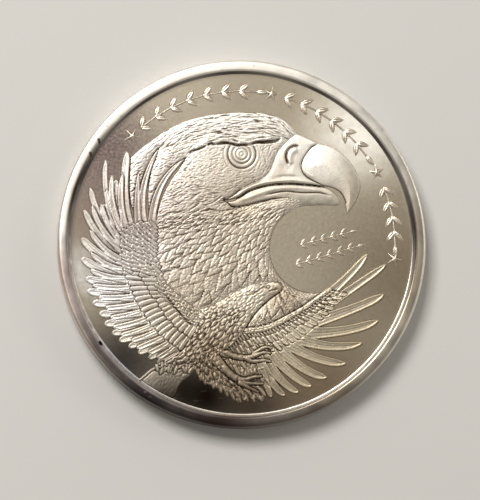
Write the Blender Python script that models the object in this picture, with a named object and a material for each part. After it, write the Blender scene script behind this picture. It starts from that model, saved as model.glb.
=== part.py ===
"""A struck silver challenge coin, lying flat with its obverse up.

The coin is one struck disc.  It is modelled as its planchet (the disc with both rims
and both sunken fields) and the devices that stand on the fields, one object for each
device.  Lengths are in millimetres until a mesh is made, which scales them to metres.
+X is the coin's right and +Y its top, seen from the obverse.  Z = 0 is the flat top of
the reverse rim, on which the coin rests.
"""
import math

import bmesh
import bpy

MM = 0.001

# Driving dimensions of the blank.
COIN_RADIUS = 19.5
COIN_THICKNESS = 3.0
FIELD_DEPTH = 0.42
RIM_FOOT_RADIUS = 18.1
RIM_INNER_RADIUS = 18.6
RIM_OUTER_RADIUS = 19.25
PLANCHET_SEGMENTS = 96

# Devices: they stand this far off the field, and this far from each other.
FIELD_GAP = 0.02
SIDE_GAP = 0.03
DEVICE_RADIUS = RIM_FOOT_RADIUS - 0.15
OBVERSE_FIELD = COIN_THICKNESS - FIELD_DEPTH
REVERSE_FIELD = FIELD_DEPTH

# Relief heights above the field.
HEAD_HEIGHT = 0.22
CERE_HEIGHT = 0.27
BEAK_HEIGHT = 0.30
EYE_HEIGHT = 0.34
WING_HEIGHT = 0.30
COVERT_HEIGHT = 0.33
BODY_HEIGHT = 0.36
LEG_HEIGHT = 0.34
TAIL_HEIGHT = 0.18
LEGEND_HEIGHT = 0.20

# The legend band: stars, and laurel sprigs between them, by angle from +X.
LEGEND_RADIUS = 16.25
STAR_ANGLES = (136.0, 79.0, 28.3, -5.4)
STAR_POINT_RADIUS = 0.85
SPRIG_SPANS = ((131.5, 84.5), (73.8, 35.3), (22.0, -0.6))
LEAF_PITCH = 1.8

# The bay under the beak is a round bite out of the neck.
BAY_CENTRE = (7.6, -0.5)
BAY_RADIUS = 4.7
BAY_START = 121.0
BAY_END = 288.0


# --- Curves ---------------------------------------------------------------------------

def smooth(points, spans=2):
    """Points of a Catmull-Rom curve through the given points, spans for each interval."""
    ends = [points[0]] + list(points) + [points[-1]]
    curve = []
    for p0, p1, p2, p3 in zip(ends, ends[1:], ends[2:], ends[3:]):
        for step in range(spans):
            t = step / spans
            curve.append(tuple(
                0.5 * (2 * b + (c - a) * t + (2 * a - 5 * b + 4 * c - d) * t * t
                       + (3 * b - a - 3 * c + d) * t ** 3)
                for a, b, c, d in zip(p0, p1, p2, p3)))
    curve.append(tuple(points[-1]))
    return curve


def arc(centre, radius, start, end, count):
    """Points of an arc, its angles in degrees from +X."""
    points = []
    for step in range(count + 1):
        angle = math.radians(start + (end - start) * step / count)
        points.append((centre[0] + radius * math.cos(angle), centre[1] + radius * math.sin(angle)))
    return points


def join(*curves):
    """One closed outline from curves that follow each other, without repeated points."""
    outline = []
    for curve in curves:
        for point in curve:
            if not outline or math.dist(point, outline[-1]) > 0.02:
                outline.append(point)
    if math.dist(outline[0], outline[-1]) < 0.02:
        outline.pop()
    return outline


def back(curve):
    """The same curve, walked the other way."""
    return list(reversed(curve))


def signed_area(outline):
    following = outline[1:] + outline[:1]
    return 0.5 * sum(a[0] * b[1] - b[0] * a[1] for a, b in zip(outline, following))


def shrunk(outline, distance):
    """The outline moved inwards by a small distance, corner by corner."""
    if signed_area(outline) < 0:
        outline = back(outline)
    count = len(outline)
    moved = []
    for index, point in enumerate(outline):
        before = outline[index - 1]
        after = outline[(index + 1) % count]
        into = unit(point[0] - before[0], point[1] - before[1])
        out_of = unit(after[0] - point[0], after[1] - point[1])
        normal = unit(-into[1] - out_of[1], into[0] + out_of[0])
        lean = max(0.4, normal[0] * -into[1] + normal[1] * into[0])
        reach = distance / lean
        moved.append((point[0] + normal[0] * reach, point[1] + normal[1] * reach))
    return moved


def unit(x, y):
    length = math.hypot(x, y)
    if length < 1e-9:
        return (0.0, 0.0)
    return (x / length, y / length)


# --- Borders that neighbouring devices share ------------------------------------------

MOUTH_CORNER = (-1.7, 4.5)
BROW_TO_BEAK = (5.85, 11.7)
HORN_TOP = (8.05, 10.7)
HORN_FOOT = (8.8, 6.08)
WING_TIP_JOINT = (-11.95, 8.95)
WRIST = (-9.24, 2.2)
COVERT_HEAD = (-12.7, -2.95)
SHOULDER_END = (-4.75, -8.97)
MEDIAN_END = (-5.45, -10.1)
GREATER_END = (-6.35, -11.45)
NAPE = (-4.6, -7.1)
BREAST = (0.3, -9.05)
THIGH = (-1.1, -10.85)
BELLY = (-5.0, -13.4)
TAIL_ROOT = (-9.0, -13.15)

CROWN = smooth([
    WING_TIP_JOINT, (-10.0, 10.6), (-8.45, 11.7), (-6.65, 12.7), (-5.0, 13.3), (-2.55, 13.8),
    (0.0, 13.97), (2.05, 13.93), (3.6, 13.6), (4.6, 13.1), (5.3, 12.45), BROW_TO_BEAK])
CERE_TOP = smooth([BROW_TO_BEAK, (6.9, 11.25), HORN_TOP])
BEAK_RIDGE = smooth([
    HORN_TOP, (9.3, 10.42), (10.35, 9.88), (11.35, 8.9), (12.05, 7.9), (12.45, 7.0),
    (12.52, 6.0), (12.3, 5.15), (11.9, 4.3), (11.1, 3.2)])
BEAK_INSIDE = smooth([
    (11.1, 3.2), (11.0, 3.9), (10.78, 4.75), (10.38, 5.42), (9.7, 5.86), HORN_FOOT])
HORN_EDGE = smooth([
    HORN_TOP, (7.3, 10.28), (6.8, 9.65), (6.4, 9.0), (6.2, 8.3), (6.3, 7.75), (6.65, 7.25),
    (7.3, 6.8), HORN_FOOT])
CERE_EDGE = smooth([
    BROW_TO_BEAK, (4.9, 10.95), (4.0, 9.95), (3.6, 9.3), (3.3, 8.5), (3.0, 7.8), (2.55, 7.2),
    (1.9, 6.7), (1.0, 6.3), (0.0, 5.8), (-0.8, 5.15), MOUTH_CORNER])
MOUTH_LINE = smooth([
    MOUTH_CORNER, (-0.9, 4.65), (-0.2, 4.98), (0.5, 5.45), (1.3, 5.8), (2.1, 6.04), (3.2, 6.27),
    (4.8, 6.38), (6.1, 6.34), (7.5, 6.24), HORN_FOOT])
BAY = arc(BAY_CENTRE, BAY_RADIUS, BAY_START, BAY_END, 24)
CHIN = BAY[0]
WING_JOINT = BAY[-1]
GAPE = smooth([
    MOUTH_CORNER, (-1.15, 3.95), (-0.35, 3.89), (0.45, 4.05), (1.4, 4.3), (2.35, 4.56),
    (3.4, 4.8), (4.2, 4.88), (5.15, 4.85)]) + [CHIN]
JAW = smooth([HORN_FOOT, (9.4, 5.72), (9.95, 5.25), (10.25, 4.75), (10.3, 4.25), (10.05, 4.07)])
JAW_FOOT = smooth([(10.05, 4.07), (8.8, 4.1), (7.5, 4.07), (6.4, 3.97), CHIN])

RIGHT_LEADING = smooth([
    WING_JOINT, (8.1, -5.5), (7.4, -6.03), (6.45, -6.67), (5.5, -7.25), (4.6, -7.72),
    (3.45, -8.35), (2.3, -8.8), (1.3, -8.97), BREAST])
FLYER_FRONT = smooth([
    BREAST, (0.75, -8.3), (1.25, -7.55), (1.9, -6.8), (2.55, -6.2), (3.2, -5.65), (3.95, -5.13),
    (4.15, -4.75), (3.8, -4.17)])
FLYER_BACK = smooth([
    (3.8, -4.17), (3.2, -4.15), (2.3, -4.38), (1.25, -4.4), (0.35, -4.75), (-0.55, -5.15),
    (-1.45, -5.65), (-2.45, -6.28), (-3.35, -6.75), NAPE])
LEFT_LEADING = smooth([
    NAPE, (-5.7, -6.55), (-6.95, -5.5), (-8.0, -4.5), (-8.6, -3.45), (-8.95, -2.5),
    (-9.2, -1.2), (-9.28, 0.2), (-9.2, 1.2), WRIST])
FIRST_FEATHER = smooth([
    WRIST, (-9.07, 3.23), (-8.4, 5.2), (-7.45, 6.92), (-6.76, 7.85), (-6.12, 8.94),
    (-7.3, 7.8), (-8.05, 6.9), (-8.65, 5.85), (-9.2, 4.6), (-9.9, 2.7)])
SECOND_FEATHER = smooth([
    (-9.9, 2.7), (-10.05, 5.1), (-9.8, 7.4), (-9.24, 9.23), (-8.9, 9.92), (-9.7, 9.1),
    (-10.2, 8.0), (-10.6, 6.5), (-10.75, 4.5), (-11.0, 3.0)])
THIRD_FEATHER = smooth([(-11.0, 3.0), (-11.7, 3.6), (-12.0, 5.2), (-12.0, 7.4), WING_TIP_JOINT])

SHOULDER_RIM = smooth([
    WRIST, (-10.0, 2.2), (-11.6, 1.9), (-12.8, 0.5), (-12.9, -0.5), (-12.5, -1.9), COVERT_HEAD])
COVERT_TOP = smooth([COVERT_HEAD, (-11.8, -3.15), (-10.9, -3.2)])
MEDIAN_TOP = smooth([(-10.9, -3.2), (-10.1, -3.2), (-9.3, -3.3)])
GREATER_EDGE = smooth([
    COVERT_HEAD, (-12.2, -3.97), (-11.7, -4.94), (-11.3, -6.03), (-10.4, -7.56), (-9.26, -9.1),
    (-8.5, -9.87), (-7.6, -10.64), GREATER_END])
MEDIAN_EDGE = smooth([
    (-10.9, -3.2), (-10.0, -4.74), (-9.26, -5.9), (-8.2, -7.56), (-7.6, -8.33), (-6.8, -9.1),
    MEDIAN_END])
SHOULDER_EDGE = smooth([
    (-9.3, -3.3), (-8.5, -5.13), (-7.85, -5.9), (-7.08, -6.92), (-6.3, -7.8), (-5.54, -8.53),
    SHOULDER_END])
COVERT_FOOT = smooth([
    THIGH, (1.0, -10.95), (2.0, -10.65), (3.2, -10.6), (4.7, -10.7), (6.0, -10.1),
    (7.15, -9.35), (8.2, -7.9), (8.15, -7.0), (8.6, -6.0), WING_JOINT])
BREAST_SIDE = smooth([BREAST, (-0.3, -9.9), THIGH])
TAIL_BORDER = smooth([BELLY, (-5.9, -13.3), (-7.2, -13.3), (-8.3, -13.4), TAIL_ROOT])


# --- Flight feathers ------------------------------------------------------------------
# Each is (root, middle, tip, width); the centre line is a parabola through the three.

LEFT_FLIGHT = (
    ((-12.0, 1.6), (-12.5, 5.2), (-12.2, 9.6), 0.95),
    ((-12.6, 1.2), (-13.35, 4.0), (-13.35, 6.6), 0.90),
    ((-12.6, 0.4), (-14.3, 4.6), (-14.45, 8.7), 0.65),
    ((-12.8, 0.3), (-14.1, 2.3), (-14.7, 4.0), 0.80),
    ((-12.7, -0.4), (-15.0, 2.5), (-16.08, 5.7), 0.75),
    ((-12.7, -1.4), (-15.1, 0.6), (-16.72, 3.35), 0.80),
    ((-12.6, -2.6), (-14.9, -1.5), (-17.0, 0.4), 0.80),
    ((-12.5, -3.5), (-14.8, -2.95), (-16.95, -1.75), 0.80),
    ((-12.1, -4.4), (-14.3, -4.3), (-16.5, -3.9), 0.80),
    ((-11.7, -5.4), (-14.0, -5.4), (-16.35, -5.25), 0.75),
    ((-11.3, -6.3), (-13.6, -6.45), (-15.8, -6.5), 0.75),
    ((-10.9, -7.1), (-13.0, -7.4), (-15.1, -7.65), 0.75),
    ((-10.4, -7.8), (-12.5, -8.3), (-14.55, -8.7), 0.75),
    ((-9.8, -8.6), (-11.9, -9.25), (-13.75, -9.65), 0.70),
    ((-9.3, -9.2), (-11.3, -9.9), (-13.0, -10.4), 0.70),
    ((-8.7, -9.8), (-10.5, -10.5), (-12.0, -11.05), 0.65),
    ((-8.0, -10.4), (-9.6, -11.1), (-11.0, -11.7), 0.65),
    ((-7.4, -10.9), (-8.8, -11.7), (-9.9, -12.25), 0.60),
    ((-6.8, -11.3), (-8.0, -12.2), (-9.0, -12.85), 0.60),
)
RIGHT_FLIGHT = (
    ((7.6, -6.6), (11.0, -3.65), (13.3, -1.0), 0.75),
    ((7.7, -7.3), (12.1, -4.4), (15.3, -2.1), 0.75),
    ((7.6, -8.3), (12.0, -6.75), (15.05, -5.3), 0.90),
    ((6.9, -9.5), (11.2, -9.1), (14.45, -8.05), 0.90),
    ((5.6, -10.0), (9.4, -10.85), (12.75, -10.45), 0.85),
    ((4.9, -10.7), (8.1, -12.2), (11.0, -12.65), 0.85),
    ((4.0, -11.3), (6.7, -13.35), (8.95, -14.15), 0.85),
    ((3.3, -11.9), (5.4, -14.0), (7.3, -15.1), 0.80),
    ((2.9, -12.9), (4.4, -14.75), (5.95, -15.75), 0.75),
    ((2.5, -13.7), (3.5, -15.2), (4.5, -16.1), 0.70),
    ((2.35, -14.4), (2.75, -15.5), (3.05, -16.3), 0.60),
)


def feather_point(feather, t, side=0.0):
    """A point on the feather's centre line, or off it by side half-widths."""
    root, middle, tip, width = feather
    weights = ((1 - t) * (1 - 2 * t), 4 * t * (1 - t), t * (2 * t - 1))
    slopes = (4 * t - 3, 4 - 8 * t, 4 * t - 1)
    x, y = (sum(w * p[axis] for w, p in zip(weights, (root, middle, tip))) for axis in (0, 1))
    dx, dy = (sum(s * p[axis] for s, p in zip(slopes, (root, middle, tip))) for axis in (0, 1))
    along = unit(dx, dy)
    reach = side * width / 2
    return (x - along[1] * reach, y + along[0] * reach)


def notch(feather, neighbour, side):
    """Where the gap between two neighbouring feathers closes, walking in from the tips."""
    steps = 40
    for step in range(steps, 8, -1):
        t = step / steps
        mine = feather_point(feather, t, side)
        theirs = min((feather_point(neighbour, k / steps, -side) for k in range(steps + 1)),
                     key=lambda point: math.dist(point, mine))
        centre = feather_point(neighbour, t)
        if math.dist(mine, theirs) < 0.10 or math.dist(mine, centre) < neighbour[3] / 2:
            return t, mine
    return 0.2, mine


def fan(feathers, side):
    """The tip side of a row of feathers, from the first one's far edge to the last one's."""
    outline = []
    start = 0.55
    for index, feather in enumerate(feathers):
        outline += [feather_point(feather, t, -side) for t in (start, (start + 0.93) / 2, 0.93)]
        outline.append(feather_point(feather, 1.0))
        outline.append(feather_point(feather, 0.93, side))
        if index + 1 < len(feathers):
            t, corner = notch(feather, feathers[index + 1], side)
            outline += [feather_point(feather, (t + 0.93) / 2, side), corner]
            start = min(0.9, t + 0.08)
    return outline


# --- Closed outlines of the obverse devices -------------------------------------------

def head_outline():
    return join(CROWN, CERE_EDGE, GAPE, BAY, RIGHT_LEADING, FLYER_FRONT, FLYER_BACK,
                LEFT_LEADING, FIRST_FEATHER, SECOND_FEATHER, THIRD_FEATHER)


def body_outline():
    legs_side = [
        (-1.6, -11.25), (-2.3, -11.75), (-2.95, -12.1), (-2.9, -12.65), (-2.35, -13.35),
        (-1.8, -14.05), (-1.1, -14.6), (-0.55, -14.85), (-0.35, -15.15), (0.1, -15.45),
        (0.85, -15.8), (1.5, -16.05)]
    trousers = [
        (2.2, -16.15), (2.2, -16.65), (1.75, -16.3), (1.2, -16.65), (0.75, -16.3), (0.2, -16.75),
        (-0.05, -16.4), (-0.4, -16.85), (-1.05, -16.2), (-2.2, -15.5), (-3.74, -14.87),
        (-4.5, -14.5)]
    return join(back(FLYER_BACK), back(FLYER_FRONT), BREAST_SIDE, legs_side, trousers,
                TAIL_BORDER, [(-7.9, -12.55), GREATER_END, MEDIAN_END, SHOULDER_END])


def tail_outline():
    rim_side = arc((0.0, 0.0), DEVICE_RADIUS, 233.5, 246.0, 4)
    return join([TAIL_ROOT, (-9.5, -13.35), (-10.1, -13.9)], rim_side,
                [(-6.95, -15.77), (-6.7, -15.1), (-6.3, -14.6), (-5.6, -14.1)], TAIL_BORDER)


def upper_leg_outline():
    return [
        (-2.15, -11.95), (-1.95, -11.55), (-1.6, -11.4), (-1.1, -11.65), (-0.5, -11.88),
        (0.25, -11.95), (0.85, -11.82), (1.35, -11.38), (2.0, -10.98), (2.6, -10.82),
        (3.1, -11.0), (3.0, -11.2), (2.5, -11.14), (1.75, -11.48), (2.2, -11.42),
        (2.85, -11.5), (2.9, -11.75), (2.3, -11.72), (1.3, -12.12), (2.3, -12.2),
        (2.95, -12.38), (2.85, -12.62), (2.3, -12.55), (1.6, -12.7), (0.9, -12.65),
        (0.5, -12.35), (-0.5, -12.3), (-1.1, -12.15), (-1.6, -11.9), (-1.95, -12.2)]


def lower_leg_outline():
    return [
        (-2.75, -12.2), (-2.4, -12.3), (-2.0, -12.75), (-1.45, -13.4), (-0.85, -13.95),
        (-0.25, -14.22), (0.45, -14.18), (1.1, -13.95), (1.9, -13.88), (2.05, -14.12),
        (1.9, -14.28), (1.2, -14.35), (0.6, -14.52), (1.2, -14.62), (2.1, -14.7),
        (2.2, -14.95), (1.9, -15.08), (1.2, -15.05), (0.7, -15.0), (1.6, -15.42),
        (1.72, -15.72), (1.5, -15.82), (0.9, -15.6), (0.2, -15.25), (-0.2, -14.95),
        (-0.4, -14.65), (-1.0, -14.4), (-1.65, -13.85), (-2.2, -13.15), (-2.7, -12.5)]


# The fan's first points run up the near edge of its first feather, which lies hidden.
HIDDEN_FAN_POINTS = 3
# From this point on, the foot of the coverts borders the right flight feathers.
FLIGHT_BORDER_START = 8


def left_flight_outline():
    """Nineteen fanned feathers, and the two long ones that lie along the neck."""
    tips = fan(LEFT_FLIGHT, 1.0)[HIDDEN_FAN_POINTS:]
    return join(FIRST_FEATHER, SECOND_FEATHER, THIRD_FEATHER, tips,
                [(-8.75, -13.0), (-7.95, -12.5), GREATER_END], back(GREATER_EDGE),
                back(SHOULDER_RIM))


def right_flight_outline():
    inner = [(2.25, -15.2), (2.35, -14.4), (2.3, -13.2), (3.15, -12.6), (3.1, -11.7), (3.3, -10.95)]
    return join([WING_JOINT], fan(RIGHT_FLIGHT, -1.0), inner, COVERT_FOOT[FLIGHT_BORDER_START:])


def brow_outline():
    """The ridge over the eye: a narrow band with pointed ends."""
    upper = smooth([
        (-5.6, 9.7), (-4.3, 10.35), (-3.1, 10.95), (-2.0, 11.3), (-0.5, 11.15), (1.0, 11.1),
        (2.6, 11.3), (4.0, 11.25)])
    lower = smooth([
        (4.0, 11.25), (3.3, 10.98), (2.4, 10.82), (0.9, 10.55), (-0.5, 10.5), (-2.0, 10.72),
        (-3.1, 10.6), (-4.3, 10.12), (-5.6, 9.7)])
    return join(upper, lower)


# --- Sprigs and stars -----------------------------------------------------------------

def star_outline(centre, point_radius, turn, waist=0.42):
    """A five-pointed star with one point at the angle turn."""
    outline = []
    for corner in range(10):
        radius = point_radius if corner % 2 == 0 else point_radius * waist
        angle = math.radians(turn + 36.0 * corner)
        outline.append((centre[0] + radius * math.cos(angle), centre[1] + radius * math.sin(angle)))
    return outline


def leaf(base, along, side, length, width, lean, stem):
    """One leaf's outline from the stem to its tip and back to the stem."""
    across = (-along[1] * side, along[0] * side)
    angle = math.radians(lean)
    shape = ((0.0, 0.0), (0.30, -0.42), (0.62, -0.42), (1.0, 0.0), (0.66, 0.46), (0.30, 0.50))
    points = []
    for reach, bulge in shape:
        forward = reach * length * math.cos(angle) + bulge * width * math.sin(angle)
        outward = reach * length * math.sin(angle) - bulge * width * math.cos(angle) + stem / 2
        points.append((base[0] + along[0] * forward + across[0] * outward,
                       base[1] + along[1] * forward + across[1] * outward))
    return back(points)


def sprig_outline(spine, length, width, lean, stem):
    """A stem along the spine with a pair of leaves at each of its points but the last."""
    sides = {}
    for side in (1, -1):
        run = []
        for start, end in zip(spine, spine[1:]):
            along = unit(end[0] - start[0], end[1] - start[1])
            run += back(leaf(start, along, side, length, width, lean, stem))
        sides[side] = run
    return join(sides[1], [spine[-1]], back(sides[-1]))


def legend_spine(start, end):
    length = math.radians(abs(end - start)) * LEGEND_RADIUS
    count = round(length / LEAF_PITCH)
    return arc((0.0, 0.0), LEGEND_RADIUS, start, end, count)


def straight_spine(start, end, count):
    return [(start[0] + (end[0] - start[0]) * k / count, start[1] + (end[1] - start[1]) * k / count)
            for k in range(count + 1)]


# --- Meshes ---------------------------------------------------------------------------

def silver(name, colour, roughness):
    material = bpy.data.materials.new(name)
    material.use_nodes = True
    shader = material.node_tree.nodes["Principled BSDF"]
    shader.inputs["Base Color"].default_value = (*colour, 1.0)
    shader.inputs["Metallic"].default_value = 1.0
    shader.inputs["Roughness"].default_value = roughness
    return material


def add_object(name, bm, material):
    bmesh.ops.recalc_face_normals(bm, faces=bm.faces)
    bmesh.ops.scale(bm, vec=(MM, MM, MM), verts=bm.verts)
    mesh = bpy.data.meshes.new(name)
    bm.to_mesh(mesh)
    bm.free()
    mesh.materials.append(material)
    obj = bpy.data.objects.new(name, mesh)
    bpy.context.collection.objects.link(obj)
    return obj


def plate(name, outline, low, high, material):
    """A flat device: its outline, drawn in by half the side gap, from low to high."""
    bm = bmesh.new()
    inside = shrunk(outline, SIDE_GAP / 2)
    floor = bm.faces.new([bm.verts.new((x, y, low)) for x, y in inside])
    grown = bmesh.ops.extrude_face_region(bm, geom=[floor])
    top = [item for item in grown["geom"] if isinstance(item, bmesh.types.BMVert)]
    bmesh.ops.translate(bm, vec=(0.0, 0.0, high - low), verts=top)
    return add_object(name, bm, material)


def obverse_plate(name, outline, height, material, stands_on=0.0):
    low = OBVERSE_FIELD + stands_on + FIELD_GAP
    return plate(name, outline, low, OBVERSE_FIELD + height, material)


def reverse_plate(name, outline, height, material):
    return plate(name, outline, REVERSE_FIELD - height, REVERSE_FIELD - FIELD_GAP, material)


def faceted_star(name, centre, point_radius, height, material):
    """A star on the reverse whose arms rise to one point in the middle."""
    bm = bmesh.new()
    outline = star_outline(centre, point_radius, 90.0)
    base = [bm.verts.new((x, y, REVERSE_FIELD - FIELD_GAP)) for x, y in outline]
    edge = [bm.verts.new((x, y, REVERSE_FIELD - 0.08)) for x, y in outline]
    peak = bm.verts.new((centre[0], centre[1], REVERSE_FIELD - height))
    bm.faces.new(base)
    for index in range(len(outline)):
        following = (index + 1) % len(outline)
        bm.faces.new((base[index], base[following], edge[following], edge[index]))
        bm.faces.new((edge[index], edge[following], peak))
    return add_object(name, bm, material)


def dome(name, centre, radius, base, height, material):
    """A low round dome, turned in two steps to its top."""
    bm = bmesh.new()
    segments = 32
    rings = []
    for ring_radius, z in ((radius, base), (radius, base + height * 0.45),
                           (radius * 0.8, base + height * 0.85), (radius * 0.4, base + height)):
        rings.append([bm.verts.new((x, y, z))
                      for x, y in arc(centre, ring_radius, 0.0, 360.0, segments)[:-1]])
    bm.faces.new(rings[0])
    bm.faces.new(rings[-1])
    for low, high in zip(rings, rings[1:]):
        for index in range(segments):
            following = (index + 1) % segments
            bm.faces.new((low[index], low[following], high[following], high[index]))
    return add_object(name, bm, material)


def planchet(material):
    """The blank: a plain edge, a raised flat rim and a sunken flat field on each side."""
    half = [
        (0.0, FIELD_DEPTH),
        (RIM_FOOT_RADIUS, FIELD_DEPTH),
        (RIM_FOOT_RADIUS + 0.18, 0.12),
        (RIM_INNER_RADIUS, 0.0),
        (RIM_OUTER_RADIUS, 0.0),
        (COIN_RADIUS - 0.07, 0.09),
        (COIN_RADIUS, 0.30)]
    profile = half + [(radius, COIN_THICKNESS - z) for radius, z in back(half)]
    bm = bmesh.new()
    verts = [bm.verts.new((radius, 0.0, z)) for radius, z in profile]
    edges = [bm.edges.new(pair) for pair in zip(verts, verts[1:])]
    bmesh.ops.spin(bm, geom=verts + edges, cent=(0.0, 0.0, 0.0), axis=(0.0, 0.0, 1.0),
                   angle=math.tau, steps=PLANCHET_SEGMENTS, use_merge=True)
    bmesh.ops.remove_doubles(bm, verts=bm.verts, dist=0.001)
    obj = add_object("planchet", bm, material)
    obj.data.shade_smooth()
    obj.data.set_sharp_from_angle(angle=math.radians(25.0))
    return obj


# --- The coin -------------------------------------------------------------------------

def obverse_devices(frosted):
    obverse_plate("eagle_head", head_outline(), HEAD_HEIGHT, frosted)
    obverse_plate("eagle_brow", brow_outline(), EYE_HEIGHT, frosted, stands_on=HEAD_HEIGHT)
    dome("eagle_eye", (-0.08, 9.0), 1.45, OBVERSE_FIELD + HEAD_HEIGHT + FIELD_GAP,
         EYE_HEIGHT - HEAD_HEIGHT - FIELD_GAP, frosted)
    obverse_plate("eagle_cere", join(CERE_TOP, HORN_EDGE, back(MOUTH_LINE), back(CERE_EDGE)),
                  CERE_HEIGHT, frosted)
    obverse_plate("eagle_upper_beak", join(BEAK_RIDGE, BEAK_INSIDE, back(HORN_EDGE)),
                  BEAK_HEIGHT, frosted)
    obverse_plate("eagle_lower_beak", join(MOUTH_LINE, JAW, JAW_FOOT, back(GAPE)),
                  CERE_HEIGHT, frosted)
    obverse_plate("flying_eagle_body", body_outline(), BODY_HEIGHT, frosted)
    obverse_plate("flying_eagle_tail", tail_outline(), TAIL_HEIGHT, frosted)
    obverse_plate("left_wing_flight_feathers", left_flight_outline(), WING_HEIGHT, frosted)
    obverse_plate("left_wing_greater_coverts",
                  join(GREATER_EDGE, [MEDIAN_END], back(MEDIAN_EDGE), back(COVERT_TOP)),
                  COVERT_HEIGHT, frosted)
    obverse_plate("left_wing_median_coverts",
                  join(MEDIAN_EDGE, [SHOULDER_END], back(SHOULDER_EDGE), back(MEDIAN_TOP)),
                  COVERT_HEIGHT, frosted)
    obverse_plate("left_wing_shoulder",
                  join(SHOULDER_RIM, COVERT_TOP, MEDIAN_TOP, SHOULDER_EDGE, LEFT_LEADING),
                  BODY_HEIGHT, frosted)
    obverse_plate("right_wing_flight_feathers", right_flight_outline(), WING_HEIGHT, frosted)
    obverse_plate("right_wing_coverts", join(RIGHT_LEADING, BREAST_SIDE, COVERT_FOOT),
                  COVERT_HEIGHT, frosted)
    obverse_plate("flying_eagle_upper_leg", upper_leg_outline(), LEG_HEIGHT, frosted)
    obverse_plate("flying_eagle_lower_leg", lower_leg_outline(), LEG_HEIGHT, frosted)


def obverse_ornaments(frosted):
    for number, angle in enumerate(STAR_ANGLES, start=1):
        centre = arc((0.0, 0.0), LEGEND_RADIUS, angle, angle, 1)[0]
        obverse_plate(f"legend_star_{number}", star_outline(centre, STAR_POINT_RADIUS, angle),
                      LEGEND_HEIGHT, frosted)
    for number, (start, end) in enumerate(SPRIG_SPANS, start=1):
        obverse_plate(f"legend_sprig_{number}",
                      sprig_outline(legend_spine(start, end), 1.25, 0.5, 40.0, 0.16),
                      LEGEND_HEIGHT, frosted)
    for name, spine in (("field_sprig_upper", straight_spine((6.2, -0.1), (11.5, 1.3), 5)),
                        ("field_sprig_lower", straight_spine((5.7, -2.2), (12.3, -0.2), 6))):
        obverse_plate(name, sprig_outline(spine, 0.85, 0.34, 38.0, 0.12), LEGEND_HEIGHT, frosted)


def reverse_devices(frosted):
    for name, start, end in (("reverse_wreath_left", 257.0, 103.0),
                             ("reverse_wreath_right", 283.0, 437.0)):
        spine = arc((0.0, 0.0), 13.6, start, end, 15)
        reverse_plate(name, sprig_outline(spine, 2.7, 1.05, 36.0, 0.34), 0.30, frosted)
    knot = [
        (0.0, -12.9), (1.0, -12.3), (2.0, -12.1), (2.6, -12.6), (2.5, -13.3), (1.2, -13.7),
        (2.1, -15.4), (1.3, -15.6), (0.0, -14.2)]
    mirrored = [(-x, y) for x, y in back(knot[1:-1])]
    reverse_plate("reverse_wreath_tie", knot + mirrored, 0.33, frosted)
    faceted_star("reverse_star", (0.0, 0.0), 9.0, 0.36, frosted)


def build():
    for obj in list(bpy.data.objects):
        bpy.data.objects.remove(obj, do_unlink=True)
    planchet(silver("field_silver", (0.62, 0.58, 0.52), 0.28))
    frosted = silver("frosted_silver", (0.86, 0.82, 0.75), 0.5)
    obverse_devices(frosted)
    obverse_ornaments(frosted)
    reverse_devices(frosted)


build()
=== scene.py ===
"""The looks of a struck silver challenge coin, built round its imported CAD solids.

Each side of the coin is a height map in millimetres above its field.  Feathers, scales,
engraved lines, leaves and stars are pressed into it one by one, and each device is then
cut out of it as a closed mesh of its own, which stands for the CAD node of that name.
"""

import math

import bpy
import numpy as np
from mathutils import Matrix, Vector
from mathutils.geometry import delaunay_2d_cdt


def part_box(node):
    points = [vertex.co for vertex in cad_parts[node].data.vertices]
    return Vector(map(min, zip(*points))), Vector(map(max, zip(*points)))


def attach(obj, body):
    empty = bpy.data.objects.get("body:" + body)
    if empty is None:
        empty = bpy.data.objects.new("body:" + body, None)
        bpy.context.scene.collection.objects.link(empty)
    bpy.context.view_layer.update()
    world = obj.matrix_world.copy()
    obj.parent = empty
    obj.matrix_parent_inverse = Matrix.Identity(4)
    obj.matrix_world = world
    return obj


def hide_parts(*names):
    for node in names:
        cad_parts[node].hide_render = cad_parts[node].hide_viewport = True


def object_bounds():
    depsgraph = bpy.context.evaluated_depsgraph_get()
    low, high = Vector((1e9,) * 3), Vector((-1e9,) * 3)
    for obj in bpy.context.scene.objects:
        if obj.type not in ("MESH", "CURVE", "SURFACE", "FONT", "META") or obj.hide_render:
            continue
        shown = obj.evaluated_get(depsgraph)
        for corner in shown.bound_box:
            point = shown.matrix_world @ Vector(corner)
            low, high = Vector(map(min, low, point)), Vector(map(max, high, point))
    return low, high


MM = 0.001

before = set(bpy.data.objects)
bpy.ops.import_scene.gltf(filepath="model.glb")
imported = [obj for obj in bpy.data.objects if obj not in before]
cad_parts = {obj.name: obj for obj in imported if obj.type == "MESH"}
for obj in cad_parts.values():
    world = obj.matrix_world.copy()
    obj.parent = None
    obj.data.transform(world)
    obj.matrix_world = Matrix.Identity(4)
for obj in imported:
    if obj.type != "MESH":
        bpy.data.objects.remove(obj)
CAD_LOW, CAD_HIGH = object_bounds()

# The blank, measured from the CAD solids.
COIN_THICKNESS = CAD_HIGH.z / MM
FIELD_GAP = 0.02
OBVERSE_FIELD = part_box("legend_star_1")[0].z / MM - FIELD_GAP
REVERSE_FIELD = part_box("reverse_star")[1].z / MM + FIELD_GAP
FIELD_DEPTH = COIN_THICKNESS - OBVERSE_FIELD
RIM_FOOT = 18.1

# The height maps: their steps, the ground outside every device, the underside of the devices,
# how steep their sides are, and how specks and touching corners are cleared.
OBVERSE_STEP = 0.06
REVERSE_STEP = 0.08
SUNK = -0.12
FLOOR_OF_DEVICE = -0.16
EDGE_SLOPE = 1.2
SPECK_PASSES = 2
SPECK_CELLS = 4
CORNER_PASSES = 8

# The kind of triangulation that fills the borders it is given, and leaves their holes open.
INSIDE_WITH_HOLES = 2

# Straight pieces of a smooth curve between two of its given points.
SPANS = 6
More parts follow.
